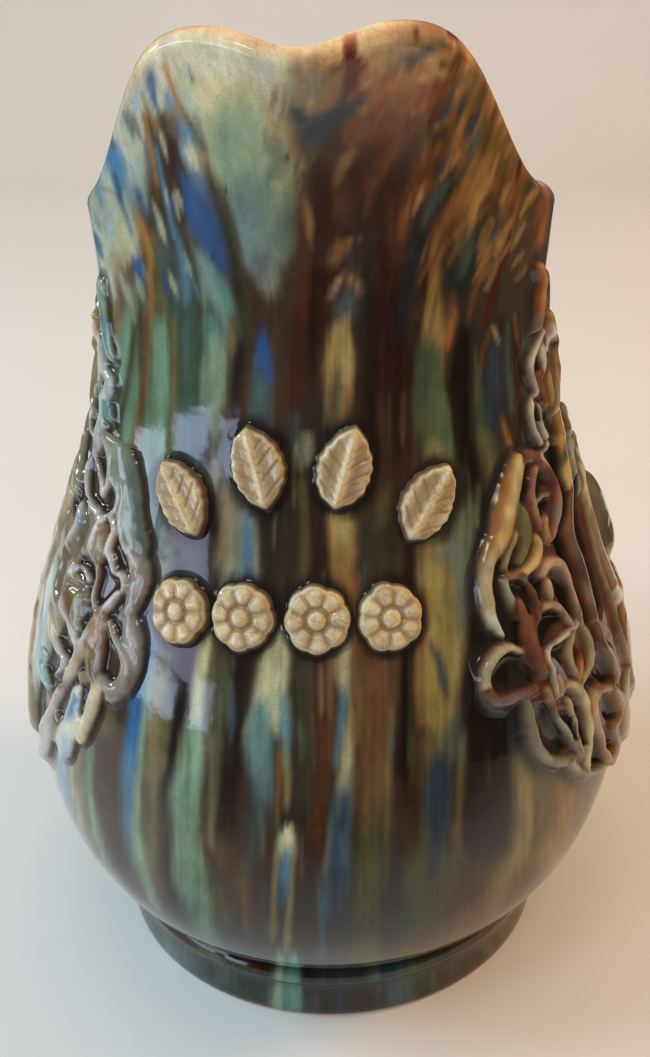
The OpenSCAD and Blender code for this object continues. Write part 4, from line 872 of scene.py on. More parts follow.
def glaze_material(name, cell=700.0, line=0.048, craze=0.22, fibre=0.08, rough=0.075, wave=0.05):
    """Run lead glaze: painted colour, threads of colour drawn down by the run, crazing, fine specks and a deep gloss."""
    m, nt = new_material(name)
    L = nt.links.new
    out = node(nt, "ShaderNodeOutputMaterial")
    bsdf = node(nt, "ShaderNodeBsdfPrincipled", {"IOR": 1.5})
    L(bsdf.outputs["BSDF"], out.inputs["Surface"])
    col = node(nt, "ShaderNodeAttribute", attribute_name="glaze")
    bare = node(nt, "ShaderNodeAttribute", attribute_name="bare")
    tc = node(nt, "ShaderNodeTexCoord")
    # threads of colour, long in height
    stretch = node(nt, "ShaderNodeMapping", {"Scale": (620.0, 620.0, 34.0)})
    L(tc.outputs["Object"], stretch.inputs["Vector"])
    thread = node(nt, "ShaderNodeTexNoise", {"Scale": 1.0, "Detail": 3.0, "Roughness": 0.62})
    L(stretch.outputs["Vector"], thread.inputs["Vector"])
    tmap = node(nt, "ShaderNodeMapRange", {"From Min": 0.30, "From Max": 0.72, "To Min": 1.0 - fibre, "To Max": 1.0 + fibre})
    L(thread.outputs["Fac"], tmap.inputs["Value"])
    # cloudy pooling
    cloud = node(nt, "ShaderNodeTexNoise", {"Scale": 150.0, "Detail": 4.0, "Roughness": 0.6})
    L(tc.outputs["Object"], cloud.inputs["Vector"])
    cmap = node(nt, "ShaderNodeMapRange", {"From Min": 0.3, "From Max": 0.7, "To Min": 0.86, "To Max": 1.13})
    L(cloud.outputs["Fac"], cmap.inputs["Value"])
    both = node(nt, "ShaderNodeMath", operation="MULTIPLY")
    L(tmap.outputs["Result"], both.inputs[0])
    L(cmap.outputs["Result"], both.inputs[1])
    tint = node(nt, "ShaderNodeVectorMath", operation="SCALE")
    L(col.outputs["Color"], tint.inputs[0])
    L(both.outputs["Value"], tint.inputs["Scale"])
    # crazing
    wob = node(nt, "ShaderNodeTexNoise", {"Scale": 260.0, "Detail": 2.0})
    L(tc.outputs["Object"], wob.inputs["Vector"])
    push = node(nt, "ShaderNodeVectorMath", operation="MULTIPLY_ADD")
    push.inputs[1].default_value = (0.0016, 0.0016, 0.0016)
    L(wob.outputs["Color"], push.inputs[0])
    L(tc.outputs["Object"], push.inputs[2])
    vor = node(nt, "ShaderNodeTexVoronoi", {"Scale": cell}, feature="DISTANCE_TO_EDGE")
    L(push.outputs["Vector"], vor.inputs["Vector"])
    crack = node(nt, "ShaderNodeMapRange", {"From Min": 0.0, "From Max": line, "To Min": 1.0, "To Max": 0.0})
    L(vor.outputs["Distance"], crack.inputs["Value"])
    keep = node(nt, "ShaderNodeMath", operation="MULTIPLY")
    L(crack.outputs["Result"], keep.inputs[0])
    L(col.outputs["Alpha"], keep.inputs[1])
    deep = node(nt, "ShaderNodeVectorMath", operation="MULTIPLY")
    deep.inputs[1].default_value = (1.0 - craze, 1.0 - craze * 1.06, 1.0 - craze * 1.1)
    L(tint.outputs["Vector"], deep.inputs[0])
    crazed = node(nt, "ShaderNodeMix", data_type="RGBA")
    L(keep.outputs["Value"], crazed.inputs["Factor"])
    L(tint.outputs["Vector"], crazed.inputs["A"])
    L(deep.outputs["Vector"], crazed.inputs["B"])
    # fine dark specks
    spot = node(nt, "ShaderNodeTexVoronoi", {"Scale": 300.0, "Randomness": 1.0}, feature="F1")
    L(tc.outputs["Object"], spot.inputs["Vector"])
    small = node(nt, "ShaderNodeMapRange", {"From Min": 0.03, "From Max": 0.07, "To Min": 0.72, "To Max": 1.0})
    L(spot.outputs["Distance"], small.inputs["Value"])
    done = node(nt, "ShaderNodeVectorMath", operation="SCALE")
    L(crazed.outputs["Result"], done.inputs[0])
    L(small.outputs["Result"], done.inputs["Scale"])
    L(done.outputs["Vector"], bsdf.inputs["Base Color"])
    # gloss: bare clay is dull
    ro = node(nt, "ShaderNodeMapRange", {"From Min": 0.3, "From Max": 0.7, "To Min": rough * 0.7, "To Max": rough * 1.5})
    L(cloud.outputs["Fac"], ro.inputs["Value"])
    dull = node(nt, "ShaderNodeMath", operation="MAXIMUM")
    L(ro.outputs["Result"], dull.inputs[0])
    L(bare.outputs["Fac"], dull.inputs[1])
    L(dull.outputs["Value"], bsdf.inputs["Roughness"])
    # the skin of the glaze is not quite even
    swell = node(nt, "ShaderNodeTexNoise", {"Scale": 95.0, "Detail": 2.5, "Roughness": 0.5})
    L(tc.outputs["Object"], swell.inputs["Vector"])
    bump = node(nt, "ShaderNodeBump", {"Strength": wave, "Distance": 0.004})
    L(swell.outputs["Fac"], bump.inputs["Height"])
    fine = node(nt, "ShaderNodeBump", {"Strength": 0.015, "Distance": 0.0006})
    fine.invert = True
    L(keep.outputs["Value"], fine.inputs["Height"])
    L(bump.outputs["Normal"], fine.inputs["Normal"])
    L(fine.outputs["Normal"], bsdf.inputs["Normal"])
    return m


MAT_BODY = glaze_material("run_glaze")
MAT_RELIEF = glaze_material("relief_run_glaze", cell=600.0, craze=0.16, fibre=0.08, rough=0.13, wave=0.03)
MAT_PAD = glaze_material("cream_crackle_glaze", cell=620.0, line=0.045, craze=0.34, fibre=0.08, rough=0.08, wave=0.04)

# ----------------------------------------------------------------------------------------------------------------------
# Body: one closed skin from the underside, up the outside, over the rim and down the inside


def body():
    front = np.linspace(-80, 80, 400, endpoint=False)
    back = np.linspace(80, 280, 70, endpoint=False)
    ang = np.concatenate([front, back])
    n = ang.size
    rows, tag = [], []

    def put(r, z, kind):
        rows.append(polar(ang, np.broadcast_to(r, ang.shape), np.broadcast_to(z, ang.shape)))
        tag.append(kind)

    for r, z in [(2.0, 5.0), (18.0, 5.0), (35.0, 5.0), (40.0, 6.2), (44.0, 9.4)]:
        put(r, z, "under")
    z_low = np.linspace(14.0, 140.0, 112)
    outer = []
    for z in z_low:
        rows.append(polar(ang, wall_r(ang, np.full(n, z)), np.full(n, z)))
        tag.append("out")
        outer.append(np.full(n, z))
    top = rim_z(ang) - RIM_T / 2
    for t in np.linspace(0, 1, 40)[1:]:
        z = NECK_Z + (top - NECK_Z) * t
        rows.append(polar(ang, wall_r(ang, z), z))
        tag.append("out")
        outer.append(z)
    rr = rim_r(ang)
    uneven = 0.25 * np.sin(np.radians(ang) * 5 + 0.6) + 0.18 * np.sin(np.radians(ang) * 11 + 2.0)
    for q in np.radians([25, 50, 72, 90, 108, 130, 155]):
        rows.append(polar(ang, rr - RIM_T / 2 + RIM_T / 2 * np.cos(q), top + (RIM_T / 2 + uneven) * np.sin(q)))
        tag.append("rim")
    for t in np.linspace(1, 0, 7):
        z = NECK_Z + (top - NECK_Z) * t
        rows.append(polar(ang, wall_r(ang, z) - (WALL - 0.4 * t), z))
        tag.append("in")
    for z in [132, 122, 110, 98, 86, 74, 62, 50, 40, 32, 26]:
        rows.append(polar(ang, wall_r(ang, np.full(n, float(z))) - WALL, np.full(n, float(z))))
        tag.append("in")
    put(float(turned_r(np.array(20.0))) - WALL - 1, 20.0, "in")
    for r, z in [(38.0, 13.6), (30.0, 12.0), (15.0, 12.0), (2.0, 12.0)]:
        put(r, z, "in")
    v = np.stack(rows)
    # hand-thrown: the wall is never quite round
    deg = np.broadcast_to(ang, v.shape[:2])
    live = np.array([k in ("out",) for k in tag])
    wob = 0.22 * np.sin(np.radians(deg) * 3 + v[..., 2] / 23) + 0.16 * np.sin(v[..., 2] / 4.1 + np.radians(deg))
    fade = smooth(16, 30, v[..., 2]) * smooth(8, 16, rim_z(deg) - v[..., 2])
    rad = np.hypot(v[..., 0], v[..., 1])
    k = np.where(live[:, None], 1 + wob * fade * 0.6 / rad, 1.0)
    v[..., 0] *= k
    v[..., 1] *= k
    m = v.shape[0]
    col = np.zeros((m, n, 3))
    bare = np.zeros((m, n))
    out_rows = [i for i, kd in enumerate(tag) if kd == "out"]
    rim_rows = [i for i, kd in enumerate(tag) if kd == "rim"]
    zz = np.stack(outer)
    aa = np.broadcast_to(ang, zz.shape)
    col[out_rows] = glaze_at(aa, zz).reshape(len(out_rows), n, 3)
    lip = (np.asarray(GLAZE["peach"], float) * 0.55 + np.asarray(GLAZE["lip"], float) * 0.45) * np.array([0.90, 0.79, 0.74])
    edge = col[out_rows[-1]]
    for q, i in enumerate(rim_rows):
        t = min(1.0, (q + 1) / 4)
        col[i] = edge * (1 - t) + lip * t
        col[i] *= (1 + 0.05 * noise(ang / 4, np.full(n, q * 0.7), 5))[:, None]
        front = np.abs(ang) < 60
        rx, ry = sheet_of(v[i][front])
        col[i][front] = brush(rx, ry, RIM_MARKS, start=col[i][front], wobble=0.0)
    honey = np.array([196.0, 158.0, 104.0])
    for i, kd in enumerate(tag):
        if kd == "in":
            zi = v[i, :, 2]
            run = noise(ang / 5, zi / 50, 6) * 0.5 + noise(ang / 17, zi / 80, 7) * 0.5
            t = smooth(12, 34, rim_z(ang) - zi)
            c = np.asarray(GLAZE["lip"], float)[None] * (1 - t[:, None]) + honey[None] * t[:, None]
            c = c * (1 + 0.16 * run)[:, None]
            pool = smooth(30, 13, zi)[:, None]
            col[i] = c * (1 - 0.45 * pool) + np.array([110.0, 78.0, 44.0]) * 0.45 * pool
        elif kd == "under":
            col[i] = np.array([176.0, 142.0, 108.0]) * (1 + 0.10 * noise(ang / 6, np.full(n, i * 1.7), 5))[:, None]
            bare[i] = 0.75
    faces = ring_faces(m, n)
    verts = np.concatenate([v.reshape(-1, 3), [[0, 0, 5.0], [0, 0, 12.0]]])
    c0, c1 = m * n, m * n + 1
    j = np.arange(n)
    kx = (j + 1) % n
    faces += np.stack([np.full(n, c0), kx, j], -1).tolist()
    last = (m - 1) * n
    faces += np.stack([np.full(n, c1), last + j, last + kx], -1).tolist()
    colour = finish_colour(np.concatenate([col.reshape(-1, 3), col[0].mean(0)[None], col[-1].mean(0)[None]]), np.r_[deg.ravel(), 0, 0], np.r_[v[..., 2].ravel(), 5, 12])
    b = np.concatenate([bare.ravel(), [0.75, 0.0]])
    return add_mesh("glazed_body", verts, faces, colour, MAT_BODY, "jug_body", b)


body()


def foot():
    prof = [(39.6, 0.0, 1), (41.5, -0.0, 1), (44.0, 0.0, 1), (46.0, 0.0, 1), (46.9, 0.3, 0.6), (47.4, 1.0, 0), (47.55, 2.5, 0), (47.4, 4.5, 0),
            (47.3, 6.5, 0), (47.35, 8.4, 0), (47.6, 9.1, 0), (48.0, 9.6, 0), (48.35, 10.4, 0), (48.4, 11.2, 0), (48.2, 12.0, 0),
            (47.7, 12.8, 0), (47.15, 13.7, 0), (46.6, 14.6, 0), (45.6, 13.2, 0), (44.2, 9.6, 0), (40.2, 6.3, 1), (38.7, 5.9, 1), (38.6, 3.5, 1), (38.7, 1.0, 1), (39.0, 0.3, 1)]
    ang = np.concatenate([np.linspace(-80, 80, 320, endpoint=False), np.linspace(80, 280, 100, endpoint=False)])
    n = ang.size
    p = np.array(prof)
    v = np.stack([polar(ang, np.full(n, r), np.full(n, z)) for r, z, _ in prof])
    m = len(prof)
    zz = np.clip(np.broadcast_to(p[:, 1:2], (m, n)), 0.5, 14.0)
    aa = np.broadcast_to(ang, (m, n))
    a = wrap_deg(aa) - 3.0
    side = np.where(a >= 0, 1.0, -1.0)
    f = np.where(np.abs(a) > FOLD, side * np.abs(2 * FOLD - np.abs(a)), a) + 3.0
    px, py = sheet_of(polar(f, np.full(f.shape, 47.6), zz))
    col = brush(px.ravel(), py.ravel(), STROKES).reshape(m, n, 3)
    # painted shade: darker in the foot's two creases and at its bottom edge where it stands
    dark = np.exp(-(((p[:, 1] - 9.2) / 0.7) ** 2)) + np.exp(-(((p[:, 1] - 13.6) / 0.8) ** 2)) * 0.9 + np.exp(-((p[:, 1] / 0.9) ** 2)) * 0.5
    col = col * (1 - 0.5 * np.clip(dark, 0, 1))[:, None, None]
    clay = np.array([172.0, 138.0, 104.0])
    col = col * (1 - p[:, 2])[:, None, None] + clay * p[:, 2][:, None, None]
    faces = []
    i, j = np.meshgrid(np.arange(m), np.arange(n), indexing="ij")
    k, i2 = (j + 1) % n, (i + 1) % m
    faces = np.stack([i * n + j, i * n + k, i2 * n + k, i2 * n + j], -1).reshape(-1, 4).tolist()
    bare = np.repeat(p[:, 2] * 0.75, n)
    return add_mesh("glazed_foot_ring", v.reshape(-1, 3), faces, finish_colour(col.reshape(-1, 3), aa.ravel(), zz.ravel()), MAT_BODY, "foot_ring", bare)


foot()


def handle():
    path = np.array([[36, 134], [47, 142], [61, 147], [75, 144], [85, 133], [88, 117], [86, 101], [79, 86], [69, 75], [54, 68]], float)
    n = len(path)
    pts = []
    for i in range(n - 1):
        p0, p1, p2, p3 = path[max(i - 1, 0)], path[i], path[i + 1], path[min(i + 2, n - 1)]
        for t in np.linspace(0, 1, 20, endpoint=False):
            pts.append(0.5 * (2 * p1 + (p2 - p0) * t + (2 * p0 - 5 * p1 + 4 * p2 - p3) * t**2 + (3 * p1 - p0 - 3 * p2 + p3) * t**3))
    pts.append(path[-1])
    pts = np.array(pts)
    q_all = np.linspace(0, 1, len(pts))
    inside = wall_r(np.full(len(pts), 180.0), pts[:, 1]) - pts[:, 0]
    keep = np.flatnonzero(inside < 2.2)
    pts, q = pts[keep[0] : keep[-1] + 1], q_all[keep[0] : keep[-1] + 1]
    tan = np.gradient(pts, axis=0)
    tan /= np.linalg.norm(tan, axis=1)[:, None]
    m, around = len(pts), 72
    w = 24 + (18 - 24) * q
    g = 1 + 0.22 * np.abs(2 * q - 1) ** 4
    out = wall_r(np.full(m, 180.0), pts[:, 1])
    root = np.exp(-(np.clip(pts[:, 0] - out, 0, None) / 3.2) ** 2)
    g = g * (1 + 0.10 * root)
    th = np.radians(360 * (np.arange(around) + 0.5) / around)
    c, s = np.cos(th), np.sin(th)
    u = np.sign(c) * np.abs(c) ** 0.7
    # three shallow furrows pulled along the outer face, and a flat inner face
    furrow = 0.55 * (0.5 + 0.5 * np.cos(u * np.pi * 3)) * (np.abs(u) < 0.86) * np.clip(np.abs(s) * 1.6, 0, 1)
    hh = np.sign(s) * np.abs(s) ** 0.8
    v = np.zeros((m, around, 3))
    for i in range(m):
        x = w[i] / 2 * g[i] * u
        h = 4.5 * g[i] * hh - np.sign(s) * furrow * np.where(s > 0, 1.0, 0.35)
        v[i, :, 0] = x
        v[i, :, 1] = pts[i, 0] - h * tan[i, 1]
        v[i, :, 2] = pts[i, 1] + h * tan[i, 0]
    run = np.cumsum(np.r_[0, np.linalg.norm(np.diff(pts, axis=0), axis=1)])
    lane = noise(np.broadcast_to(th * 3.5, (m, around)), np.broadcast_to(run[:, None] / 40, (m, around)), 1)
    lane2 = noise(np.broadcast_to(th * 8, (m, around)), np.broadcast_to(run[:, None] / 26, (m, around)), 2)
    order = ["dark", "brown", "olive", "ochre", "celadon", "teal", "steel", "rust", "cream", "maroon"]
    key = np.clip((lane * 0.75 + lane2 * 0.35 + 1) / 2, 0, 0.999) * (len(order) - 1)
    lo = np.floor(key).astype(int)
    f = smooth(0.25, 0.75, key - lo)[..., None]
    pal = np.array([GLAZE[k] for k in order], float)
    col = pal[lo] * (1 - f) + pal[np.minimum(lo + 1, len(order) - 1)] * f
    # the ends take the wall's own runs
    az = 180 + np.degrees(np.arctan2(-v[..., 0], v[..., 1]))
    wallcol = glaze_at(az, np.clip(v[..., 2], 16, 150)).reshape(m, around, 3)
    t = np.exp(-(np.clip(pts[:, 0] - out, 0, None) / 6.0) ** 2)[:, None, None] * 0.8
    col = col * (1 - t) + wallcol * t
    # painted shade: the furrows are darkened, the outer face's more than the inner's
    col *= (1 - 0.35 * np.clip(furrow, 0, 1) * np.where(s > 0, 1, 0.4))[None, :, None]
    col = col.reshape(-1, 3)
    vv = np.concatenate([v.reshape(-1, 3), [[0, pts[0, 0], pts[0, 1]], [0, pts[-1, 0], pts[-1, 1]]]])
    faces = ring_faces(m, around)
    j = np.arange(around)
    k = (j + 1) % around
    faces += np.stack([np.full(around, m * around), k, j], -1).tolist()
    faces += np.stack([np.full(around, m * around + 1), (m - 1) * around + j, (m - 1) * around + k], -1).tolist()
    colour = finish_colour(np.concatenate([col, col[:1], col[-1:]]), 180.0, np.r_[v[..., 2].ravel(), 140, 70])
    return add_mesh("pulled_handle", vv, faces, colour, MAT_BODY, "handle")


handle()

# ----------------------------------------------------------------------------------------------------------------------
# Applied relief: ribbons laid on the wall, and hollows between them. A ribbon is a height in millimetres, a colour, then
# x, y and width on the sheet. A hollow is a depth, then x, y and width.

RIGHT_RIBBONS = [
    (2.6, "gold", 521, 457, 10, 519, 463, 16, 516, 478, 20, 510, 500, 22, 505.6, 520, 23, 502, 536, 21, 496, 549, 19, 489.5, 564, 17,
     487, 583, 16, 489, 601, 16, 493, 618, 14, 500, 631, 10, 507, 637, 5),
    (2.2, "umber", 527, 460, 14, 534, 456, 16, 542, 461, 12),
    (2.7, "rose", 536, 468, 7, 533, 478, 8, 531.5, 490, 8, 532, 499, 8, 535, 512, 8, 540, 528, 6),
    (2.9, "rose", 543, 464, 8, 549, 474, 10, 555, 487, 10, 558, 500, 10, 558.5, 512, 10, 555, 527, 9, 549, 540, 7),
    (2.5, "khaki", 533, 503, 6, 541, 499, 7, 549, 494, 6),
    (2.6, "tan", 545, 518, 9, 544.6, 528, 10, 546, 539, 7),
    (2.5, "olive", 521, 508, 10, 525, 520, 13, 527, 535, 14, 524, 550, 12, 519, 562, 9),
    (2.7, "gold", 536, 538, 8, 538, 546, 11, 536, 558, 13, 528, 570, 13, 518, 576, 11, 510, 575, 8),
    (2.3, "khaki", 516, 534, 7, 512, 548, 8, 508, 560, 9, 506, 568, 8),
    (2.3, "ash", 506, 581, 9, 509, 592, 10, 514, 602, 11, 520, 613, 11),
    (2.5, "umber", 521, 577, 8, 529, 585, 9, 535, 595, 9, 539, 607, 9, 538, 620, 9),
    (2.5, "rust", 521, 603, 14, 525, 615, 20, 528, 632, 22, 533, 650, 22, 540, 664, 18, 545, 672, 10),
    (3.0, "clay", 541, 574, 10, 545, 566, 13, 552, 562, 14, 560, 564, 13, 566, 573, 12, 571, 585, 11, 574, 597, 9, 577, 612, 7),
    (2.7, "clay", 547, 582, 9, 549, 592, 10, 550, 597, 7),
    (2.9, "clay", 544, 607, 9, 552, 605, 10, 559, 609, 10, 566, 618, 8, 571, 625, 6),
    (3.0, "bone", 577, 600, 5, 578.5, 614, 6, 573, 627, 6, 561, 638, 6, 551, 648, 6, 547, 657, 6, 551, 666, 6, 553, 679, 6, 556, 697, 6),
    (2.6, "mauve", 553, 660, 8, 559, 670, 9, 564, 680, 9, 563, 688, 8),
    (2.7, "clay", 557, 676, 7, 560, 686, 9, 560, 695, 8),
    (2.8, "khaki", 571, 634, 8, 568.5, 650, 8, 571, 666, 8, 580, 679, 8),
    (2.8, "khaki", 579, 620, 8, 586, 634, 9, 590, 652, 9, 588, 668, 9, 582, 682, 8),
    (2.5, "blood", 577, 648, 9, 579, 660, 11, 580, 670, 8),
    (2.6, "butter", 521, 652, 8, 512, 648, 11, 503, 651, 13, 494, 660, 14, 487, 674, 14, 488, 688, 14, 494, 698, 14),
    (2.6, "umber", 490, 694, 13, 500, 702, 15, 512, 700, 14, 524, 694, 12, 536, 688, 10),
    (2.7, "dun", 527, 702, 10, 529, 712, 14, 532, 727, 15, 537, 744, 15, 547, 758, 15, 560, 763, 14, 572, 759, 11),
    (2.7, "tan", 547, 690, 9, 549, 699, 11, 553, 709, 10),
    (2.6, "ash", 552, 713, 9, 560, 722, 11, 568, 731, 10, 576, 744, 10, 582, 758, 9),
    (2.8, "clay", 568, 700, 6, 573, 714, 6, 577, 733, 6, 581, 750, 6),
    (2.9, "butter", 566, 684, 9, 577, 688, 12, 585, 702, 12, 588.5, 720, 11, 588, 740, 10, 586, 758, 10, 585, 776, 9),
    (2.9, "clay", 611, 688, 9, 599, 690, 11, 593, 700, 11, 594, 716, 11, 599, 732, 10, 605, 748, 9, 607, 762, 8),
    (2.8, "tan", 613, 690, 8, 620, 702, 8, 619, 716, 8, 612, 728, 8, 616, 745, 8, 610, 764, 8),
    (2.6, "ash", 572, 764, 12, 580, 772, 12, 592, 774, 10, 603, 767, 8),
    (2.8, "umber", 590, 612, 10, 596, 626, 11, 602, 643, 11, 610, 660, 10, 616, 676, 9),
    (2.8, "ochre", 560.5, 440, 14, 561, 452, 15, 565, 472, 16, 568, 488, 16),
    (2.8, "umber", 568.5, 496, 15, 567.5, 510, 15, 567, 526, 15, 570, 543, 16, 577, 561, 16, 583, 578, 15, 588, 600, 14, 592, 618, 12),
    # a thin raised line along the outer rib; its paler colour is a painted highlight
    (3.0, "khaki", 570, 438, 3, 573, 455, 3, 580, 478, 3, 583, 503, 3, 587, 526, 3, 594, 555, 3, 601, 578, 3, 611, 606, 3,
     618, 632, 3, 626, 661, 3, 630, 688, 3),
    (2.4, "bone", 551, 440, 4, 549, 450, 4, 542, 456, 4, 547, 469, 4),
]
RIGHT_HOLLOWS = [
    (1.3, 526.3, 473, 4, 526.3, 483, 7, 527, 493, 4),
    (1.5, 541, 473, 5, 540, 485, 8, 538, 497, 5),
    (1.4, 546, 501, 8, 544.6, 508, 10, 542, 514, 7),
    (1.5, 555, 450, 6, 558, 478, 6, 563, 494, 6, 562, 514, 6, 558, 535, 6, 564, 555, 6, 571, 577, 6, 578, 600, 6, 585, 622, 6),
    (1.5, 575.5, 478, 5, 577, 508, 6, 581, 532, 7, 587, 556, 7, 594, 580, 7, 601, 610, 7),
    (1.2, 502, 562, 4, 498.5, 584, 6, 501, 601, 6, 508, 617, 6, 513, 628, 5),
    (1.2, 525, 586, 5, 527.5, 598, 8, 530, 612, 6),
    (1.4, 556, 578, 9, 562, 588, 11, 566, 600, 9, 570, 612, 7),
    (1.2, 541, 583, 5, 540, 597, 6),
    (1.6, 545, 640, 6, 548, 624, 14, 556, 618, 12),
    (1.1, 518, 622, 5, 517, 634, 7, 520, 645, 5),
    (1.2, 559, 650, 4, 559, 656, 6, 562, 662, 5),
    (1.6, 504, 672, 12, 514, 674, 18, 526, 676, 12, 533, 680, 6),
    (1.6, 546, 707, 7, 551, 720, 11, 557, 733, 13, 564, 747, 9),
    (1.1, 571, 717, 4, 575, 738, 5),
    (1.3, 579, 716, 4, 581.5, 730, 7, 583.5, 743, 6),
    (1.6, 594, 737, 6, 596, 749, 10, 598, 760, 8),
    (1.6, 608, 700, 7, 609.5, 709, 11, 612, 717, 8),
    (1.4, 606, 736, 6, 608, 745, 9),
    (1.6, 597, 660, 8, 602, 670, 14, 606, 678, 10),
]
# the thin lilac strands are raised ribbons whose pale colour is partly painted highlight along their ridges
LEFT_RIBBONS = [
    (2.3, "lichen", 108, 432, 20, 112, 450, 22, 119, 472, 25, 123, 495, 26, 124.5, 515, 26, 127, 530, 26, 131, 546, 26, 133, 556, 18),
    (2.3, "stone", 133, 562, 20, 136, 572, 21, 135, 584, 20, 131, 597, 18, 125, 611, 14, 116, 618, 9),
    (2.1, "stone", 125, 620, 14, 128, 636, 20, 129, 652, 20, 126, 670, 20, 118, 687, 18, 106, 698, 14),
    (2.75, "lilac", 84, 420, 5, 90, 439.5, 5, 85.4, 458, 5, 82.6, 475, 5.5, 82.6, 493.5, 5.5, 89, 507, 6, 96, 515, 6),
    (2.75, "lilac", 98, 429, 6, 96, 441, 6, 90.5, 453, 5, 93.5, 469, 5.5, 96.4, 482, 6, 98, 496, 5),
    (2.75, "lilac", 102, 441, 6, 106.5, 454, 6, 106, 468, 6, 104.5, 481, 6, 99, 494, 5),
    (2.75, "lilac", 108, 478, 6, 114, 488, 6, 115, 498, 6, 112, 507, 6, 105, 514, 6, 96, 518, 6),
    (2.8, "lilac", 120.5, 484, 3.5, 121, 500, 3.5, 118, 517.6, 3.5, 117.6, 535, 4, 120, 547, 4.5, 129, 555.5, 5, 135, 565, 6),
    (2.75, "lilac", 99, 519, 5, 93.5, 529, 5, 89, 540.5, 5, 87.7, 555.5, 5, 93, 567, 5, 93.5, 577, 5),
    (2.75, "lilac", 106, 517, 6, 110, 529, 7, 107, 539, 8, 103.5, 550, 8, 107, 562, 7, 109, 572, 6),
    (2.6, "ash", 100, 527, 8, 97.5, 546, 10, 94, 562, 8),
    (2.75, "lilac", 113, 574, 7, 119, 577, 8, 120, 586, 7, 117, 593, 5),
    (2.7, "lilac", 78, 504, 7, 76, 518, 9, 72, 530, 8, 66, 546, 6),
    (2.7, "lilac", 67, 571, 5, 72, 567, 5, 77, 568, 5, 81, 573, 5, 84.5, 580, 5),
    (2.75, "lilac", 113, 594, 9, 106, 603, 10, 93, 617, 10, 83.5, 633, 10, 76.5, 649, 11, 66, 673, 11, 55, 692, 10, 45, 713, 9, 38, 733, 8),
    (2.7, "lilac", 93, 580, 5, 88.5, 597, 5, 90.5, 610, 6),
    (2.7, "lilac", 59, 594, 6, 64, 617, 7, 68, 633, 8, 71, 645, 7),
    (2.7, "lilac", 48.5, 608, 6, 49.5, 633, 7, 55, 652, 7, 60, 661, 7, 52, 676, 6),
    (2.8, "celadon", 77.5, 592, 5, 72, 614, 6, 74, 630, 5),
    (2.2, "taupe", 96, 612, 12, 93, 634, 16, 89, 660, 17, 89, 676, 13, 90, 686, 8),
    (2.7, "stone", 105, 622, 5, 109, 636, 7, 116, 649, 10, 122.5, 662, 13, 122, 678, 15, 115, 690, 15, 104, 688, 13, 95, 680, 10),
    (2.3, "pale", 92, 688, 12, 89, 700, 14, 85, 714, 13, 80, 728, 12, 76, 742, 9),
    (2.2, "ear", 72, 690, 10, 69, 706, 13, 66, 722, 16, 62, 740, 16, 60, 756, 12),
    (2.3, "lilac", 52, 698, 8, 46, 716, 9, 44, 734, 9, 48, 748, 8),
    (2.5, "pale_teal", 48, 560, 12, 42, 590, 14, 38, 620, 14, 36, 650, 14, 40, 680, 12),
    (2.7, "lilac", 74, 440, 7, 68, 470, 7, 60, 505, 7, 52, 545, 7, 44, 585, 7, 38, 625, 7, 34, 655, 7),
]
LEFT_HOLLOWS = [
    (1.4, 83, 430, 6, 88, 443, 7, 83, 458, 7, 78, 475, 8, 77, 491, 8, 81, 507, 7, 84, 523, 8, 76, 540, 9, 66, 555, 9, 60, 575, 9, 55, 592, 8),
    (1.5, 81, 605, 5, 81, 613, 8, 80, 622, 6),
    (1.4, 60, 624, 5, 60, 638, 7, 61, 652, 5),
    (1.3, 44, 654, 8, 46, 658, 6),
    (1.6, 70, 585, 9, 77, 588, 12, 82, 590, 7),
    (1.2, 98, 589, 4, 97, 597, 5),
    (1.3, 56, 676, 8, 57, 682, 9),
    (1.4, 109, 652, 6, 110, 661, 8, 108, 668, 6),
    (0.9, 92, 468, 4, 94, 480, 5, 95, 491, 4),
    (0.9, 111, 489, 4, 111, 497, 6, 107, 506, 5),
    (0.8, 102, 457, 3, 102, 472, 4),
    (0.9, 105, 533, 3, 101, 548, 4),
    (1.2, 103, 565, 6, 99, 580, 7),
]
RIGHT_SPRAY = [
    (1.9, "orange", 545, 266, 8, 548, 282, 11, 546, 298, 11, 545, 314, 10, 541, 330, 8),
    # raised crest line; its pale colour is a painted highlight
    (2.2, "bone", 547, 330, 5, 540, 347, 5, 534.5, 360, 5, 533.5, 372, 5, 538, 386, 5, 539, 394, 5, 535.5, 401, 5, 533.5, 412, 5,
     535.5, 424, 5, 540, 434, 5, 546, 444, 5),
    (1.8, "ash", 545, 348, 10, 547, 362, 10, 545, 374, 8),
    (1.7, "rust", 541, 366, 8, 542, 380, 9, 547, 392, 9, 550, 404, 8),
    # raised crest line; its pale colour is a painted highlight
    (2.0, "bone", 541, 405, 5, 544, 424, 5, 551, 438, 5),
    (2.0, "ochre", 551, 374, 10, 553, 390, 11, 557, 404, 14, 562, 420, 15, 565.5, 438, 15),
]
RIGHT_SPRAY_HOLLOWS = [
    (1.3, 540, 355, 4, 540, 363, 6, 542, 370, 4),
    (1.3, 538, 400, 5, 539, 410, 6, 541, 420, 5),
    (1.3, 546, 408, 5, 549, 420, 7, 553, 430, 5),
    (1.2, 541, 334, 4, 537, 344, 5),
]
LEFT_SPRAY = [
    (1.8, "celadon", 93, 282, 9, 95, 298, 11, 97, 320, 11, 100, 340, 11, 104, 357, 9),
    # raised strands; their pale silver colour is partly painted highlight along the ridges
    (2.2, "silver", 96, 344, 8, 97.5, 366, 10, 103, 377, 10, 103, 387, 10, 98.5, 400, 11, 97.5, 417, 12, 94, 429, 10, 90, 440, 6),
    (2.1, "silver", 92, 386, 6, 86, 407, 6, 85, 421, 6, 90.5, 436, 6),
    (1.8, "teal", 102, 405, 8, 102.5, 418, 8),
]
LEFT_SPRAY_HOLLOWS = [
    (1.3, 93, 388, 4, 92, 398, 6, 91, 410, 5),
    (1.2, 103, 424, 8, 106, 430, 8),
]
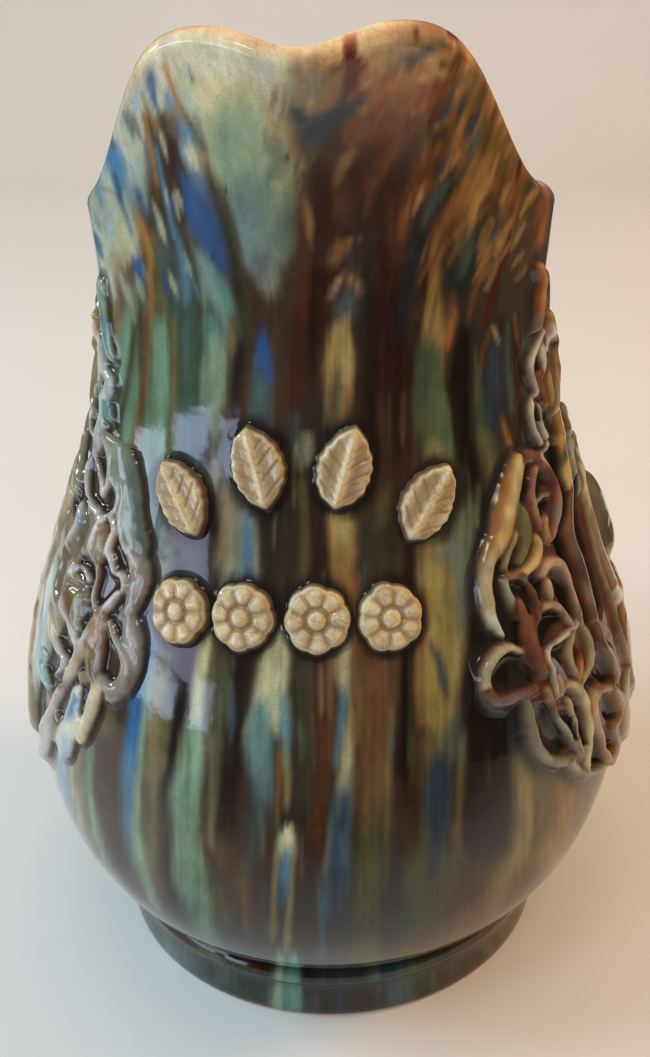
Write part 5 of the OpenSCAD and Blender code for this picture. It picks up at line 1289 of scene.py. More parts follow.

# colour laid over the ribbons: outlines, pale crests where the glaze runs thin with painted highlight on them, and
# pooled colour
RIGHT_FIELD = [("red_brown", 1.0, 8, 560, 430, 120, 560, 620, 190, 575, 800, 130)]
RIGHT_TOUCH = [
    ("cream", 0.35, 3, 518, 468, 8, 514, 490, 10, 509, 515, 10),
    ("orange", 0.85, 2.5, 507, 480, 5, 500, 503, 7, 495, 523, 8, 489, 547, 8, 482, 562, 5),
    ("butter", 0.85, 3, 488, 568, 13, 486, 584, 13, 488, 601, 13, 493, 618, 11),
    ("ear", 0.6, 2.5, 494, 620, 8, 502, 632, 8),
    ("red_brown", 0.85, 2.5, 547, 473, 6, 550, 484, 7, 548, 493, 5),
    ("grey_teal", 0.6, 2.5, 557, 508, 5, 556, 520, 5),
    ("olive", 0.7, 3, 519, 512, 8, 522, 530, 8),
    ("rust", 0.9, 3, 506, 573, 9, 516, 575, 8),
    ("dark_olive", 0.7, 3, 562, 452, 12, 563, 460, 12),
    ("gold", 0.9, 3, 565, 466, 13, 567, 479, 13),
    ("rust", 0.6, 3, 566, 512, 11, 566, 528, 11),
    ("slate", 0.7, 3, 572, 543, 6, 577, 556, 7),
    ("maroon", 0.6, 3, 579, 564, 9, 583, 580, 8),
    ("ash", 0.6, 2.5, 585, 588, 6, 588, 596, 6),
    ("red_brown", 0.7, 4, 530, 646, 14, 536, 658, 14),
    ("mauve", 0.5, 3, 504, 703, 9, 520, 697, 9),
    ("olive", 0.6, 3, 576, 634, 7, 577, 642, 8),
    ("orange", 1.0, 2, 579, 663, 6, 580, 671, 6),
    ("rust", 0.8, 3, 552, 704, 7, 554, 711, 7),
    ("rust", 0.8, 3, 594, 686, 8, 600, 688, 7),
    ("peach", 0.5, 2, 568, 702, 4, 573, 716, 4),
    ("orange", 0.6, 2, 604, 750, 5, 608, 758, 5),
    ("umber", 0.6, 4, 590, 520, 12, 604, 570, 12, 616, 620, 10, 628, 670, 8),
    ("umber", 0.5, 4, 614, 690, 12, 616, 740, 12),
]
LEFT_FIELD = [
    ("dun", 1.0, 8, 90, 430, 120, 80, 600, 190, 75, 790, 130),
    ("lichen", 1.0, 6, 96, 428, 50, 106, 480, 60, 112, 515, 40),
    ("taupe", 0.9, 6, 104, 530, 30, 110, 560, 40, 112, 596, 34),
    ("pale_teal", 0.95, 5, 66, 470, 20, 58, 520, 22, 48, 575, 24, 40, 630, 22, 40, 690, 20),
    ("ear", 0.6, 4, 56, 540, 8, 46, 590, 10, 36, 640, 8),
]
LEFT_TOUCH = [
    ("lichen", 0.8, 5, 108, 436, 12, 114, 462, 12, 118, 490, 12),
    ("slate", 0.75, 4, 128, 470, 8, 134, 500, 8, 137, 530, 9, 141, 550, 8),
    ("slate", 0.6, 4, 137, 620, 7, 140, 650, 8, 134, 680, 8),
    ("ochre", 0.45, 3, 113, 540, 6, 116, 560, 8),
    ("rust", 0.75, 3, 102, 527, 6, 101, 533, 5),
    ("rust", 0.7, 3, 97, 572, 6, 94, 584, 6),
    ("rust", 0.8, 3, 67, 594, 8, 68, 608, 7),
    ("rust", 0.8, 3, 54, 680, 8, 57, 684, 8),
    ("tan", 0.6, 4, 94, 620, 9, 91, 645, 11),
    ("red_brown", 0.6, 3, 88, 668, 8, 90, 682, 7),
    ("cream", 0.7, 2.5, 51, 622, 5, 52, 640, 5),
    ("cream", 0.8, 3, 76, 655, 7, 72, 672, 8),
    ("steel", 0.9, 3, 70, 702, 8, 68, 714, 9),
    ("ear", 0.9, 4, 72, 722, 10, 66, 736, 12),
    ("sky", 0.8, 4, 63, 745, 10, 61, 758, 9),
    ("steel", 0.6, 3, 80, 512, 4, 78, 528, 4),
]


def middle(side):
    """The middle of each side, which the camera doesn't reach: a stem with paired leaves below the boss, and a frame round it."""
    out = []
    for pts, w, h, colour in [
        ([(90, 48), (90, 60), (90, 70), (90, 78)], 21, 3.1, "clay"),
        ([(88, 51), (82, 57), (78.5, 65), (80, 73), (86, 78)], 13, 2.9, "ochre"),
        ([(90, 61), (85.5, 67), (82.5, 74)], 11, 2.7, "olive"),
        ([(86, 47), (77, 50), (71, 58), (72.5, 66)], 13, 2.8, "khaki"),
        ([(78, 83), (76.5, 92), (78, 101), (83, 107.5), (90, 110)], 11, 3.1, "bone"),
        ([(78, 83), (82, 78.5), (90, 76)], 11, 3.0, "bone"),
        ([(90, 110), (90, 116)], 16, 2.8, "khaki"),
        ([(84, 112), (78, 110), (75, 104)], 10, 2.6, "ash"),
    ]:
        out.append((h, colour, [(side * a, z, w) for a, z in pts]))
    return out


MIN_SLOPE = 1.6


def flat_map(side):
    """A flat chart of one side: the sheet as the camera sees it, which goes on past the outline at a steady scale."""
    zs = np.arange(14.0, 188.1, 2.0)
    aa = np.arange(25.0, 86.0, 0.25)
    cuts = []
    for z in zs:
        x, _ = sheet_of(on_wall(side * aa, np.full(aa.shape, z), np.full(aa.shape, 2.0))[0])
        low = np.flatnonzero(np.abs(np.gradient(x, aa)) < MIN_SLOPE)
        cuts.append(aa[low[0]] if low.size else 85.0)
    cuts = np.array(cuts)

    def chart(a, z):
        m = np.where(np.abs(a) > 90, 180 - np.abs(a), np.abs(a))
        lim = np.minimum(m, np.interp(z, zs, cuts))
        x, y = sheet_of(on_wall(side * lim, z, np.full(np.shape(lim), 2.0))[0])
        return x + side * MIN_SLOPE * (m - lim), y

    return chart


def charted(flat, chart):
    """Sheet points moved to the chart."""
    pts = np.asarray(flat, float).reshape(-1, 3).copy()
    az = np.array([wall_under(x, y) for x, y, _ in pts])
    pts[:, 0], pts[:, 1] = chart(az[:, 0], az[:, 1])
    return pts


def curve(pts):
    fine = []
    for i in range(len(pts) - 1):
        p0, p1, p2, p3 = pts[max(i - 1, 0)], pts[i], pts[i + 1], pts[min(i + 2, len(pts) - 1)]
        for f in np.linspace(0, 1, 6, endpoint=False):
            fine.append(0.5 * (2 * p1 + (p2 - p0) * f + (2 * p0 - 5 * p1 + 4 * p2 - p3) * f**2 + (3 * p1 - p0 - 3 * p2 + p3) * f**3))
    return np.array(fine + [pts[-1]])


def across(x, y, pts):
    """Distance from a ribbon's middle, as a part of its half width."""
    e = np.full(x.shape, 9.0)
    reach = pts[:, 2].max() + 2
    pick = np.flatnonzero((x > pts[:, 0].min() - reach) & (x < pts[:, 0].max() + reach) & (y > pts[:, 1].min() - reach) & (y < pts[:, 1].max() + reach))
    if pick.size == 0:
        return e
    qx, qy = x[pick], y[pick]
    best = np.full(pick.size, 9.0)
    for (x0, y0, w0), (x1, y1, w1) in zip(pts[:-1], pts[1:]):
        dx, dy = x1 - x0, y1 - y0
        t = np.clip(((qx - x0) * dx + (qy - y0) * dy) / max(dx * dx + dy * dy, 1e-6), 0, 1)
        best = np.minimum(best, np.hypot(qx - x0 - t * dx, qy - y0 - t * dy) / ((w0 + (w1 - w0) * t) * 0.56))
    e[pick] = best
    return e


def shore(inside, sx, sy, reach=4.5):
    """Signed distance in millimetres from the border of a mask on a grid with steps sx and sy."""
    out = []
    for m in (inside, ~inside):
        d = np.where(m, 0.0, 99.0)
        for _ in range(14):
            p = np.pad(d, 1, mode="edge")
            for di, dj in [(-1, 0), (1, 0), (0, -1), (0, 1), (-1, -1), (-1, 1), (1, -1), (1, 1)]:
                step = np.sqrt((sy * di) ** 2 + (sx * dj) ** 2)
                d = np.minimum(d, p[1 + di : p.shape[0] - 1 + di, 1 + dj : p.shape[1] - 1 + dj] + step)
        out.append(np.minimum(d, reach))
    return blur(out[0] - out[1], 2)


def slab_edge(y, z):
    """Signed distance outside the leaf slab, in the side view."""
    d = np.full(y.shape, 1e9)
    for cy, cz, r in [(14, 107, 9.5), (27, 102, 12.5), (30, 89, 12.5), (40, 78, 8.8), (36, 64, 11.2), (20, 57, 10.4)]:
        d = np.minimum(d, np.hypot(np.abs(y) - cy, z - cz) - r)
    inner = np.maximum.reduce([np.abs(y) - (38 - np.abs(z - 84) * 0.25), z - 108, 49 - z])
    return np.minimum(d, inner)


def relief_sheet(name, a, z, height, edge, colour, cad, halo, dark=(30, 24, 20), crackle=None):
    """A closed sheet on the wall from a grid of heights. Beyond the relief's edge the glaze fillets down and dips into the wall."""
    fillet = 0.55 * np.exp(-np.clip(edge, 0, None) / 0.75) - 0.22 * smooth(0.9, 2.8, edge)
    h = np.where(edge > 0, np.maximum(fillet, -0.22), np.maximum(height, 0.45))
    h = blur(h, 3)
    keep = edge < 3.1
    quad = keep[:-1, :-1] & keep[1:, :-1] & keep[1:, 1:] & keep[:-1, 1:]
    used = np.zeros(keep.shape, bool)
    used[:-1, :-1] |= quad
    used[1:, :-1] |= quad
    used[1:, 1:] |= quad
    used[:-1, 1:] |= quad
    # the open border is pulled under the wall
    inner = used.copy()
    inner[1:-1, 1:-1] = used[1:-1, 1:-1] & used[:-2, 1:-1] & used[2:, 1:-1] & used[1:-1, :-2] & used[1:-1, 2:]
    h = np.where(used & ~inner, np.minimum(h, -0.25), h)
    top, _ = on_wall(a, z, h)
    low, _ = on_wall(a, z, np.full(a.shape, -1.0))
    index = -np.ones(a.shape, int)
    index[used] = np.arange(used.sum())
    nv = int(used.sum())
    i, j = np.nonzero(quad)
    q = np.stack([index[i, j], index[i, j + 1], index[i + 1, j + 1], index[i + 1, j]], -1)
    faces = q.tolist() + (q[:, ::-1] + nv).tolist()
    # walls round the border
    edges = {}
    for f in q.tolist():
        for s, t in zip(f, f[1:] + f[:1]):
            if (t, s) in edges:
                del edges[(t, s)]
            else:
                edges[(s, t)] = True
    faces += [[t, s, s + nv, t + nv] for s, t in edges]
    # hollows hold dark pooled glaze, and a dark line of it lies round the relief
    ridge = (h - blur(h, 12)).ravel()
    sunk = (0.75 * smooth(-0.12, -0.75, ridge))[:, None]
    c = colour * (1 - sunk) + np.asarray(dark, float) * sunk
    c = c * (1 + 0.08 * smooth(0.1, 0.7, ridge))[:, None]
    ground = glaze_at(a, z)
    e = edge.ravel()
    ring = (np.exp(-((np.clip(e, 0, None) / 1.7) ** 2)) * smooth(-0.7, 0.2, e))[:, None]
    on = (1 - smooth(-0.3, 0.5, e))[:, None]
    c = ground * (1 - on) + c * on
    c = c * (1 - halo * ring) + np.array([38.0, 31.0, 26.0]) * halo * ring
    col = finish_colour(c[used.ravel()], a[used], z[used], crackle)
    verts = np.concatenate([top[used], low[used]])
    return add_mesh(name, verts, faces, np.concatenate([col, col]), MAT_RELIEF, cad)


def side_grid(side, lo, mid, fine, coarse, z0, z1, dz):
    """Angles and heights of a grid that is finer towards the front."""
    m = np.concatenate([np.arange(lo, mid, fine), np.arange(mid, 180 - lo + 0.01, coarse)])
    aa = m * side
    a, z = np.meshgrid(aa if side > 0 else aa[::-1], np.arange(z0, z1 + 0.01, dz))
    p = on_wall(a, z)[0]
    sx = np.abs(np.gradient(a, axis=1)) * np.pi / 180 * wall_r(a, z)
    return a, z, p, sx


def laid(side, a, z, slab, base, ribbons, hollows, extra, field, touch, shoulder, sx, dz, dark):
    """Heights, border and colours of ribbons and hollows laid over a slab."""
    chart = flat_map(side)
    x, y = chart(a, z)
    fx, fy = x.ravel(), y.ravel()
    lines = [(h - (0.0 if side > 0 else 0.4), c, curve(charted(flat, chart))) for h, c, *flat in ribbons]
    for h, c, pts in extra:
        p = np.array(pts, float)
        px, py = chart(p[:, 0], p[:, 1])
        lines.append((h, c, curve(np.stack([px, py, p[:, 2]], 1))))
    raised = np.zeros(fx.shape)
    covered = np.zeros(fx.shape, bool)
    seen = brush(fx, fy, [(s[0], s[1], s[2], *charted(s[3:], chart).ravel()) for s in field], start=glaze_at(a, z))
    for h, c, pts in lines:
        e = across(fx, fy, pts)
        raised += (max(h - base, 0) * (1.0 if side > 0 else 0.6) * np.clip(1 - e**2, 0, None)) ** 3
        covered |= e < 1
        t = (1 - smooth(0.72, 1.12, e))[:, None]
        flank = smooth(0.25, 0.95, e)[:, None]
        tone = np.asarray(GLAZE[c], float) * (1 - flank * np.array([0.34, 0.48, 0.56] if side > 0 else [0.15, 0.13, 0.12]))
        seen = seen * (1 - t) + tone * t
    seen = brush(fx, fy, [(s[0], s[1], s[2], *charted(s[3:], chart).ravel()) for s in touch], start=seen, wobble=0.3)
    cut = np.zeros(fx.shape)
    for depth, *flat in hollows:
        e = across(fx, fy, curve(charted(flat, chart)))
        cut = np.maximum(cut, depth * (1.0 if side > 0 else 0.5) * np.clip(1 - e**2, 0, 1) ** 0.8)
        t = (0.96 if side > 0 else 0.75) * (1 - smooth(0.55, 1.15, e))[:, None]
        seen = seen * (1 - t) + np.asarray(dark, float) * t
    h = (base + 0.12 * noise(fx / 9, fy / 9, 5) + np.cbrt(raised) - cut).reshape(a.shape)
    edge = shore((slab < 0) | covered.reshape(a.shape), sx, dz)
    k = np.clip(-edge / shoulder, 0, 1)
    h = 0.45 + (np.maximum(h, 0.5) - 0.45) * np.sqrt(1 - (1 - k) ** 2)
    seen = seen * (1 + 0.09 * noise(fx / 7, fy / 15, 6) + 0.05 * noise(fx / 2.6, fy / 6, 7))[:, None]
    return h, edge, seen * (np.ones(3) if side > 0 else np.array([1.06, 1.08, 1.12]))


def cartouche(name, side, ribbons, hollows, field, touch, cad, base, shoulder, inset, dark):
    a, z, p, sx = side_grid(side, 29.0, 84.0, 0.34, 0.62, 42.0, 120.0, 0.4)
    slab = slab_edge(p[..., 1], z) + inset
    h, edge, seen = laid(side, a, z, slab, base, ribbons, hollows, middle(side), field, touch, shoulder, sx, 0.4, dark)
    return relief_sheet(name, a, z, h, edge, seen, cad, 0.85, dark)


cartouche("right_cartouche_relief", 1, RIGHT_RIBBONS, RIGHT_HOLLOWS, RIGHT_FIELD, RIGHT_TOUCH, "right_leaf_cartouche", 1.6, 1.5, 3.4, (27, 21, 18))
cartouche("left_cartouche_relief", -1, LEFT_RIBBONS, LEFT_HOLLOWS, LEFT_FIELD, LEFT_TOUCH, "left_leaf_cartouche", 1.7, 3.6, 7.5, (92, 80, 66))


def spray(name, side, ribbons, hollows, field, touch, cad, dark):
    """Palmette of rolled lobes above the cartouche."""
    a, z, p, sx = side_grid(side, 44.0, 86.0, 0.36, 0.6, 113.0, 157.0, 0.38)
    y = p[..., 1]

    def rho(t):
        w = 0.5 - 0.5 * np.sin(t)
        return (17 - 4.5 * w + 7.5 * np.abs(np.cos(t)) ** 1.5 * (0.35 + 0.65 * w)) * (0.94 + 0.06 * np.cos(9 * (t - np.pi / 2))) - 3.2 * np.clip(-np.sin(t), 0, None) ** 3

    t = np.arctan2(z - 130.0, y / 1.2)
    slab = np.hypot(y / 1.2, z - 130.0) - rho(t) + 3.0
    extra = []
    for k in range(9):
        q = math.radians(90 + 40 * k)
        r = float(rho(np.array(q))) - 3.0
        f = np.linspace(0.08, 0.92, 8)
        bend = 0.2 * np.sin(f * 2.6) * (1 if k % 2 else -1)
        u, v = 1.2 * r * f * np.cos(q + bend), 130.0 + r * f * np.sin(q + bend)
        az = 90 + np.degrees(np.arcsin(np.clip(u / turned_r(v), -0.98, 0.98)))
        if np.abs(u).max() < 14 and (az.mean() < 90.5):
            w = np.array([7, 10, 13, 15, 16, 15, 12, 8.0])
            extra.append((2.6, ["clay", "ochre", "silver", "khaki"][k % 4], [(side * min(aa, 90.0), zz, ww) for aa, zz, ww in zip(az, v, w)]))
    h, edge, seen = laid(side, a, z, slab, 1.1, ribbons, hollows, extra, field, touch, 1.4, sx, 0.38, dark)
    hub = 3.2 * np.sqrt(np.clip(1 - (np.hypot(y, z - 130.0) / 3.2) ** 2, 0, 1))
    return relief_sheet(name, a, z, np.maximum(h, hub), edge, seen, cad, 0.7, dark)


spray("right_spray_relief", 1, RIGHT_SPRAY, RIGHT_SPRAY_HOLLOWS, [("umber", 1.0, 8, 548, 270, 60, 545, 360, 60, 556, 440, 60)], [
    ("rust", 0.9, 2.5, 538, 294, 7, 536, 318, 7),
    ("gold", 0.6, 2.5, 548, 280, 5, 547, 296, 5),
    ("slate", 0.7, 3, 541, 322, 7, 537, 336, 6),
    ("ear", 0.6, 2.5, 546, 350, 6, 547, 362, 6),
], "right_upper_spray", (30, 24, 20))
spray("left_spray_relief", -1, LEFT_SPRAY, LEFT_SPRAY_HOLLOWS, [("lichen", 1.0, 8, 96, 290, 60, 96, 360, 60, 86, 440, 60)], [
    ("cobalt", 0.8, 2.5, 94, 306, 8, 97, 318, 8),
    ("teal", 0.9, 3, 98, 322, 9, 101, 344, 9, 104, 356, 8),
    ("ochre", 0.6, 2, 106, 330, 4, 109, 352, 4),
    ("steel", 0.5, 3, 88, 420, 5, 86, 438, 6),
], "left_upper_spray", (40, 44, 44))


def boss(name, side, cad):
    """Oval dome in a beaded frame."""
    aa = np.arange(74.0, 106.01, 0.4) * side
    zz = np.arange(76.0, 110.01, 0.4)
    a, z = np.meshgrid(aa if side > 0 else aa[::-1], zz)
    p = on_wall(a, z)[0]
    y = p[..., 1]
    dz = np.clip(np.abs(z - 93.0) - 2.0, 0, None)
    e = np.hypot(y, dz)
    edge = e - 8.9
    dome = (4.9 if side > 0 else 2.7) * np.sqrt(np.clip(1 - (e / 8.8) ** 2.2, 0, 1))
    t = np.arctan2(z - 93.0, y)
    bead = (1.9 if side > 0 else 1.5) * np.exp(-(((e - 8.1) / 0.7) ** 2)) * (0.75 + 0.25 * np.cos(28 * t))
    groove = 0.5 * np.exp(-(((e - 6.9) / 0.6) ** 2))
    flute = 0.22 * np.cos(8 * t) * np.clip(e / 7, 0, 1) * (e < 6.4)
    hh = np.maximum(dome - groove + flute, bead)
    tone = (92, 78, 54) if side > 0 else (118, 124, 112)
    c = np.asarray(tone, float) * (1 + 0.16 * noise(a / 3.5, z / 6.0, 6) + 0.10 * noise(a / 1.4, z / 3.0, 7)).reshape(-1, 1)
    return relief_sheet(name, a, z, hh, edge, c, cad, 0.7, (40, 32, 24))


boss("right_boss_relief", 1, "right_oval_boss")
boss("left_boss_relief", -1, "left_oval_boss")

# ----------------------------------------------------------------------------------------------------------------------
# Front pads: a veined leaf and a rosette, with a rounded edge and a collar of dark pooled glaze and painted shadow


def leaf_radius(t, length, width):
    r = (length**2 / 4 + width**2 / 4) / width
    c = r - width / 2
    ct = np.abs(np.cos(t))
    return -c * ct + np.sqrt(np.clip(r * r - (c * np.sin(t)) ** 2, 0, None))


def pad(name, cad, a0, z0, turn, kind, seed):
    around = 144
    th = np.linspace(0, 2 * np.pi, around, endpoint=False)
    if kind == "leaf":
        big = leaf_radius(th, 14.4, 9.4)
        # notched edge of a leaf
        big = big * (1 - 0.045 * (0.5 + 0.5 * np.cos(14 * th)) * np.abs(np.cos(th)) ** 0.5)
    else:
        big = 5.25 + 0.42 * np.abs(np.cos(4 * (th + 0.2))) ** 0.7
    big = big * (1 + 0.02 * np.sin(3 * th + seed) + 0.015 * np.sin(5 * th + 2 * seed))
    s = np.concatenate([np.linspace(0.04, 0.80, 20), np.linspace(0.83, 1.0, 13)])
    skirt = np.array([0.08, 0.2, 0.4, 0.65, 0.95, 1.3, 1.7, 2.1, 2.4])
    # the skirt's outline runs out smooth
    plain = sum(np.roll(big, d) for d in range(-8, 9)) / 17
    u = np.array([r * big for r in s] + [big + (plain - big) * smooth(0.15, 1.3, k) + k for k in skirt])
    x, y = u * np.cos(th), u * np.sin(th)
    edge = np.concatenate([u[: len(s)] - big, np.repeat(skirt[:, None], around, 1)])
    inn = np.clip(-edge / 1.15, 0, 1)
    top = 2.35 * np.sqrt(1 - (1 - inn) ** 2)
    if kind == "leaf":
        rib = 0.42 * np.exp(-((x / 0.55) ** 2)) * smooth(6.8, 5.0, np.abs(y))
        v1 = np.cos((y - np.abs(x) * 0.85) * 2 * np.pi / 2.7)
        vein = 0.20 * smooth(0.55, 0.98, v1) * smooth(0.3, 0.9, np.abs(x))
        dish = -0.28 * np.exp(-(((np.abs(x) - 1.9) / 1.1) ** 2))
        detail = rib - vein + dish
    else:
        r = np.hypot(x, y)
        petal = 0.42 * np.abs(np.cos(4 * (th + 0.2)))[None] * smooth(1.5, 2.6, r) * smooth(5.4, 4.2, r)
        heart = 0.75 * np.sqrt(np.clip(1 - (r / 1.55) ** 2, 0, 1))
        moat = -0.42 * np.exp(-(((r - 1.95) / 0.4) ** 2))
        detail = petal - 0.28 + heart + moat
    detail = detail * smooth(0.0, 0.8, inn)
    h = np.where(edge <= 0, top + detail + 0.12, 0)
    fillet = 0.40 * np.exp(-np.clip(edge, 0, None) / 0.42) - 0.22 * smooth(0.6, 2.2, edge)
    h = np.where(edge > 0, fillet, np.maximum(h, 0.40))
    ct, st = math.cos(math.radians(turn)), math.sin(math.radians(turn))
    xl, zl = x * ct - y * st, x * st + y * ct
    zz = z0 + zl
    aa = a0 + np.degrees(np.arcsin(np.clip(xl / turned_r(zz), -0.9, 0.9)))
    m = h.shape[0]
    verts = on_wall(aa, zz, h)[0].reshape(-1, 3)
    centre_h = 2.35 + (0.54 if kind == "leaf" else 0.6)
    c_top = on_wall(np.array([a0]), np.array([z0]), np.array([centre_h]))[0]
    low = on_wall(aa[-1], zz[-1], np.full(around, -1.2))[0]
    c_low = on_wall(np.array([a0]), np.array([z0]), np.array([-1.2]))[0]
    ground = glaze_at(aa, zz).reshape(m, around, 3)
    cream = np.array([204.0, 178.0, 134.0])
    warm = np.array([190.0, 150.0, 98.0])
    mot = noise(x / 2.2 + seed, y / 2.2, 5)[..., None]
    face = cream * (0.5 + 0.5 * smooth(-0.6, 0.6, mot)) + warm * (0.5 - 0.5 * smooth(-0.6, 0.6, mot))
    low_spots = smooth(0.10, -0.30, detail)[..., None] * smooth(0.3, 0.9, inn)[..., None]
    face = face * (1 - 0.42 * low_spots) + np.array([96.0, 66.0, 40.0]) * 0.42 * low_spots
    # a dark band round the pad's rounded edge: glaze pooled there, and painted shade on the bevel
    edge_pool_and_shade = smooth(0.42, 0.02, inn)[..., None]
    face = face * (1 - 0.75 * edge_pool_and_shade) + np.array([70.0, 46.0, 30.0]) * 0.75 * edge_pool_and_shade
    # pooled glaze round the pad, with painted shadow that makes the collar heavier below and to the right
    shadow_weight = 0.72 + 0.28 * (np.cos(np.arctan2(zl, xl) + 0.8))
    ring = np.exp(-((np.clip(edge, 0, None) / (1.05 * shadow_weight)) ** 2))[..., None] * 0.85
    pool_and_shadow_collar = ground * (1 - ring) + np.array([36.0, 28.0, 24.0]) * ring
    col = np.where((edge <= 0)[..., None], face, pool_and_shadow_collar).reshape(-1, 3)
    n0 = m * around
    allv = np.concatenate([verts, c_top, low, c_low])
    faces = ring_faces(m, around)
    j = np.arange(around)
    k = (j + 1) % around
    faces += np.stack([np.full(around, n0), j, k], -1).tolist()
    last = (m - 1) * around
    b0 = n0 + 1
    faces += np.stack([last + j, b0 + j, b0 + k, last + k], -1)[:, ::-1].tolist()
    faces += np.stack([np.full(around, b0 + around), b0 + k, b0 + j], -1).tolist()
    faces = [f[::-1] for f in faces[: (m - 1) * around]] + faces[(m - 1) * around :]
    allc = np.concatenate([col * [0.90, 0.93, 0.99], face[0].mean(0)[None], np.tile([[50.0, 40.0, 34.0]], (around + 1, 1))])
    return add_mesh(name, allv, faces, finish_colour(allc, 0.35 * np.r_[aa.ravel(), np.full(around + 2, a0)], np.r_[zz.ravel(), np.full(around + 2, z0)]), MAT_PAD, cad)


for i, (a0, z0, turn) in enumerate([(-29, 115, 38), (-11.5, 122, 16), (7, 122, -16), (24.5, 115, -38)]):
    pad(f"leaf_pad_{i + 1}", f"arc_pad_{i + 1}", a0, z0, turn, "leaf", i + 1.0)
for i, (a0, z0) in enumerate([(-26, 96.5), (-13, 97.5), (1, 97.8), (14.5, 97.5)]):
    pad(f"rosette_pad_{i + 1}", f"row_pad_{i + 1}", a0, z0, 8.0 * i, "rosette", i + 7.0)

# ----------------------------------------------------------------------------------------------------------------------
# Stage, light and camera


def stage_sheet(name, xs, material, path):
    v = [(x, y, z) for y, z in path for x in xs]
    n = len(xs)
    f = [[i * n + j, i * n + j + 1, (i + 1) * n + j + 1, (i + 1) * n + j] for i in range(len(path) - 1) for j in range(n - 1)]
    me = bpy.data.meshes.new(name)
    me.from_pydata(v, [], f)
    me.polygons.foreach_set("use_smooth", np.ones(len(me.polygons), bool))
    me.materials.append(material)
    ob = bpy.data.objects.new(name, me)
    bpy.context.scene.collection.objects.link(ob)
    return ob


def cloth():
    m, nt = new_material("table_cloth")
    L = nt.links.new
    out = node(nt, "ShaderNodeOutputMaterial")
    bsdf = node(nt, "ShaderNodeBsdfPrincipled", {"Roughness": 0.62, "IOR": 1.4})
    L(bsdf.outputs["BSDF"], out.inputs["Surface"])
    tc = node(nt, "ShaderNodeTexCoord")
    nz = node(nt, "ShaderNodeTexNoise", {"Scale": 3.0, "Detail": 4.0})
    L(tc.outputs["Object"], nz.inputs["Vector"])
    ramp = node(nt, "ShaderNodeValToRGB")
    ramp.color_ramp.elements[0].position, ramp.color_ramp.elements[0].color = 0.3, (0.735, 0.725, 0.71, 1)
    ramp.color_ramp.elements[1].position, ramp.color_ramp.elements[1].color = 0.7, (0.765, 0.755, 0.74, 1)
    L(nz.outputs["Fac"], ramp.inputs["Fac"])
    # painted shade: the cloth darkens to about a quarter of its colour towards the table's front edge
    cut = node(nt, "ShaderNodeSeparateXYZ")
    L(tc.outputs["Object"], cut.inputs["Vector"])
    front = node(nt, "ShaderNodeMapRange", {"From Min": -0.19, "From Max": -0.065, "To Min": 0.26, "To Max": 1.0}, interpolation_type="SMOOTHSTEP")
    L(cut.outputs["Y"], front.inputs["Value"])
    front_shade = node(nt, "ShaderNodeVectorMath", operation="SCALE")
    L(ramp.outputs["Color"], front_shade.inputs[0])
    L(front.outputs["Result"], front_shade.inputs["Scale"])
    L(front_shade.outputs["Vector"], bsdf.inputs["Base Color"])
    return m


# a pale table that sweeps up at the back; its far ends lie outside what the glaze mirrors
CLOTH = cloth()
SWEEP = [(-0.24, -0.06), (-0.24, -0.004), (-0.236, 0.0), (0.0, 0.0), (0.9, 0.0)]
SWEEP += [(0.9 + 0.6 * math.sin(q), 0.6 - 0.6 * math.cos(q)) for q in np.linspace(0.1, math.pi / 2, 12)]
SWEEP += [(1.5, 1.2), (1.5, 2.6)]
NEAR, FAR = SWEEP[:4] + [(0.4, 0.0)], [(0.4, 0.0)] + SWEEP[4:]
stage_sheet("table", np.linspace(-0.32, 0.26, 9), CLOTH, NEAR)
stage_sheet("table_back", np.linspace(-0.32, 0.0, 5), CLOTH, FAR)
stage_sheet("table_back_right", np.linspace(0.0, 0.26, 5), CLOTH, FAR).visible_glossy = False
stage_sheet("table_right", np.linspace(0.26, 3.0, 13), CLOTH, SWEEP).visible_glossy = False
stage_sheet("table_left", np.linspace(-3.0, -0.32, 13), CLOTH, SWEEP).visible_glossy = False


def area_light(name, at, aim, size, watts, colour):
    li = bpy.data.lights.new(name, "AREA")
    li.shape = "RECTANGLE"
    li.size, li.size_y = size
    li.energy = watts
    li.color = colour
    ob = bpy.data.objects.new(name, li)
    ob.location = at
    ob.rotation_euler = (Vector(aim) - Vector(at)).to_track_quat("-Z", "Y").to_euler()
    bpy.context.scene.collection.objects.link(ob)
    return ob


def compass(az, el, d, z=0.12):
    """A place that far from the jug, at an angle from the spout and an elevation in degrees."""
    a, e = math.radians(az), math.radians(el)
    return (d * math.cos(e) * math.sin(a), -d * math.cos(e) * math.cos(a), z + d * math.sin(e))


JUG = (0.0, 0.0, 0.10)
area_light("wall_wash", (-0.15, 0.9, 1.1), (-0.15, 0.9, 0), (2.6, 0.8), 2.6, (1.0, 0.78, 0.60))
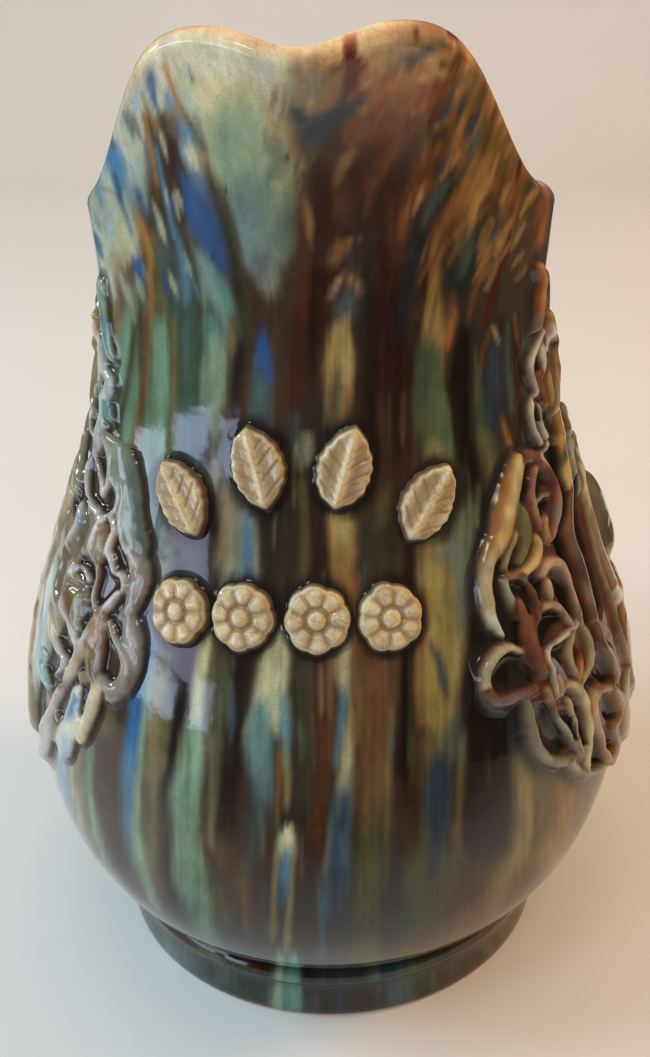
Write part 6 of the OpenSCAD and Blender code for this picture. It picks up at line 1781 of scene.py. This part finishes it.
# broad soft lights that the glaze doesn't mirror
for name, at, aim, size, watts, colour in [
    ("ceiling", (0.0, 0.4, 1.6), (0, 0.4, 0), (2.6, 2.4), 14.6, (1.0, 0.77, 0.58)),
    ("front_wall", (0.0, -1.0, 0.68), JUG, (1.8, 0.6), 6.5, (1.0, 0.84, 0.70)),
    ("lamp", compass(100, 30, 1.25, 0.10), (0, 0, 0.08), (0.35, 0.35), 8.0, (1.0, 0.55, 0.21)),
    ("daylight", compass(-85, 35, 1.25, 0.10), (0, 0, 0.08), (0.6, 0.5), 10.4, (0.38, 0.76, 1.0)),
]:
    area_light(name, at, aim, size, watts, colour).visible_glossy = False
# the window low on the left, in four panes, and its brightest corner
for name, az, el, size, watts, colour in [
    ("pane_1", -63, -5, (0.42, 0.17), 1.4, (0.55, 0.70, 1.0)),
    ("pane_2", -59.5, 4.5, (0.52, 0.15), 1.0, (0.68, 0.70, 1.0)),
    ("pane_3", -43, -3, (0.20, 0.25), 0.9, (0.58, 0.70, 1.0)),
    ("pane_4", -88, -1.5, (0.50, 0.19), 1.5, (0.64, 0.80, 1.0)),
    ("pane_5", -115, 12, (0.12, 0.12), 1.3, (0.80, 0.95, 1.0)),
]:
    area_light(name, compass(az, el, 1.2), (0, 0, 0.12), size, watts, colour)
area_light("ceiling_lamp", compass(-35, 52, 1.35), JUG, (0.30, 0.14), 1.6, (1.0, 0.95, 0.90))

scene = bpy.context.scene
world = bpy.data.worlds.new("room_fill")
world.use_nodes = True
world.node_tree.nodes["Background"].inputs["Color"].default_value = (1.0, 0.93, 0.88, 1)
world.node_tree.nodes["Background"].inputs["Strength"].default_value = 0.06
scene.world = world
scene.view_settings.view_transform = "Standard"

cam = bpy.data.cameras.new("view")
cam.sensor_fit = "AUTO"
cam.sensor_width = 36.0
cam.lens = CAM_F * 36.0 / SHEET_H
cam.shift_x = -CAM_X0 / SHEET_H
cam.clip_start, cam.clip_end = 0.01, 20.0
camera = bpy.data.objects.new("view", cam)
camera.matrix_world = (
    Matrix.Translation((CAM_D * math.sin(CAM_AZ) * MM, -CAM_D * math.cos(CAM_AZ) * MM, CAM_H * MM))
    @ Matrix.Rotation(CAM_AZ, 4, "Z")
    @ Matrix.Rotation(math.pi / 2 - CAM_PITCH, 4, "X")
    @ Matrix.Rotation(CAM_ROLL, 4, "Z")
)
scene.collection.objects.link(camera)
scene.camera = camera

bpy.context.view_layer.update()
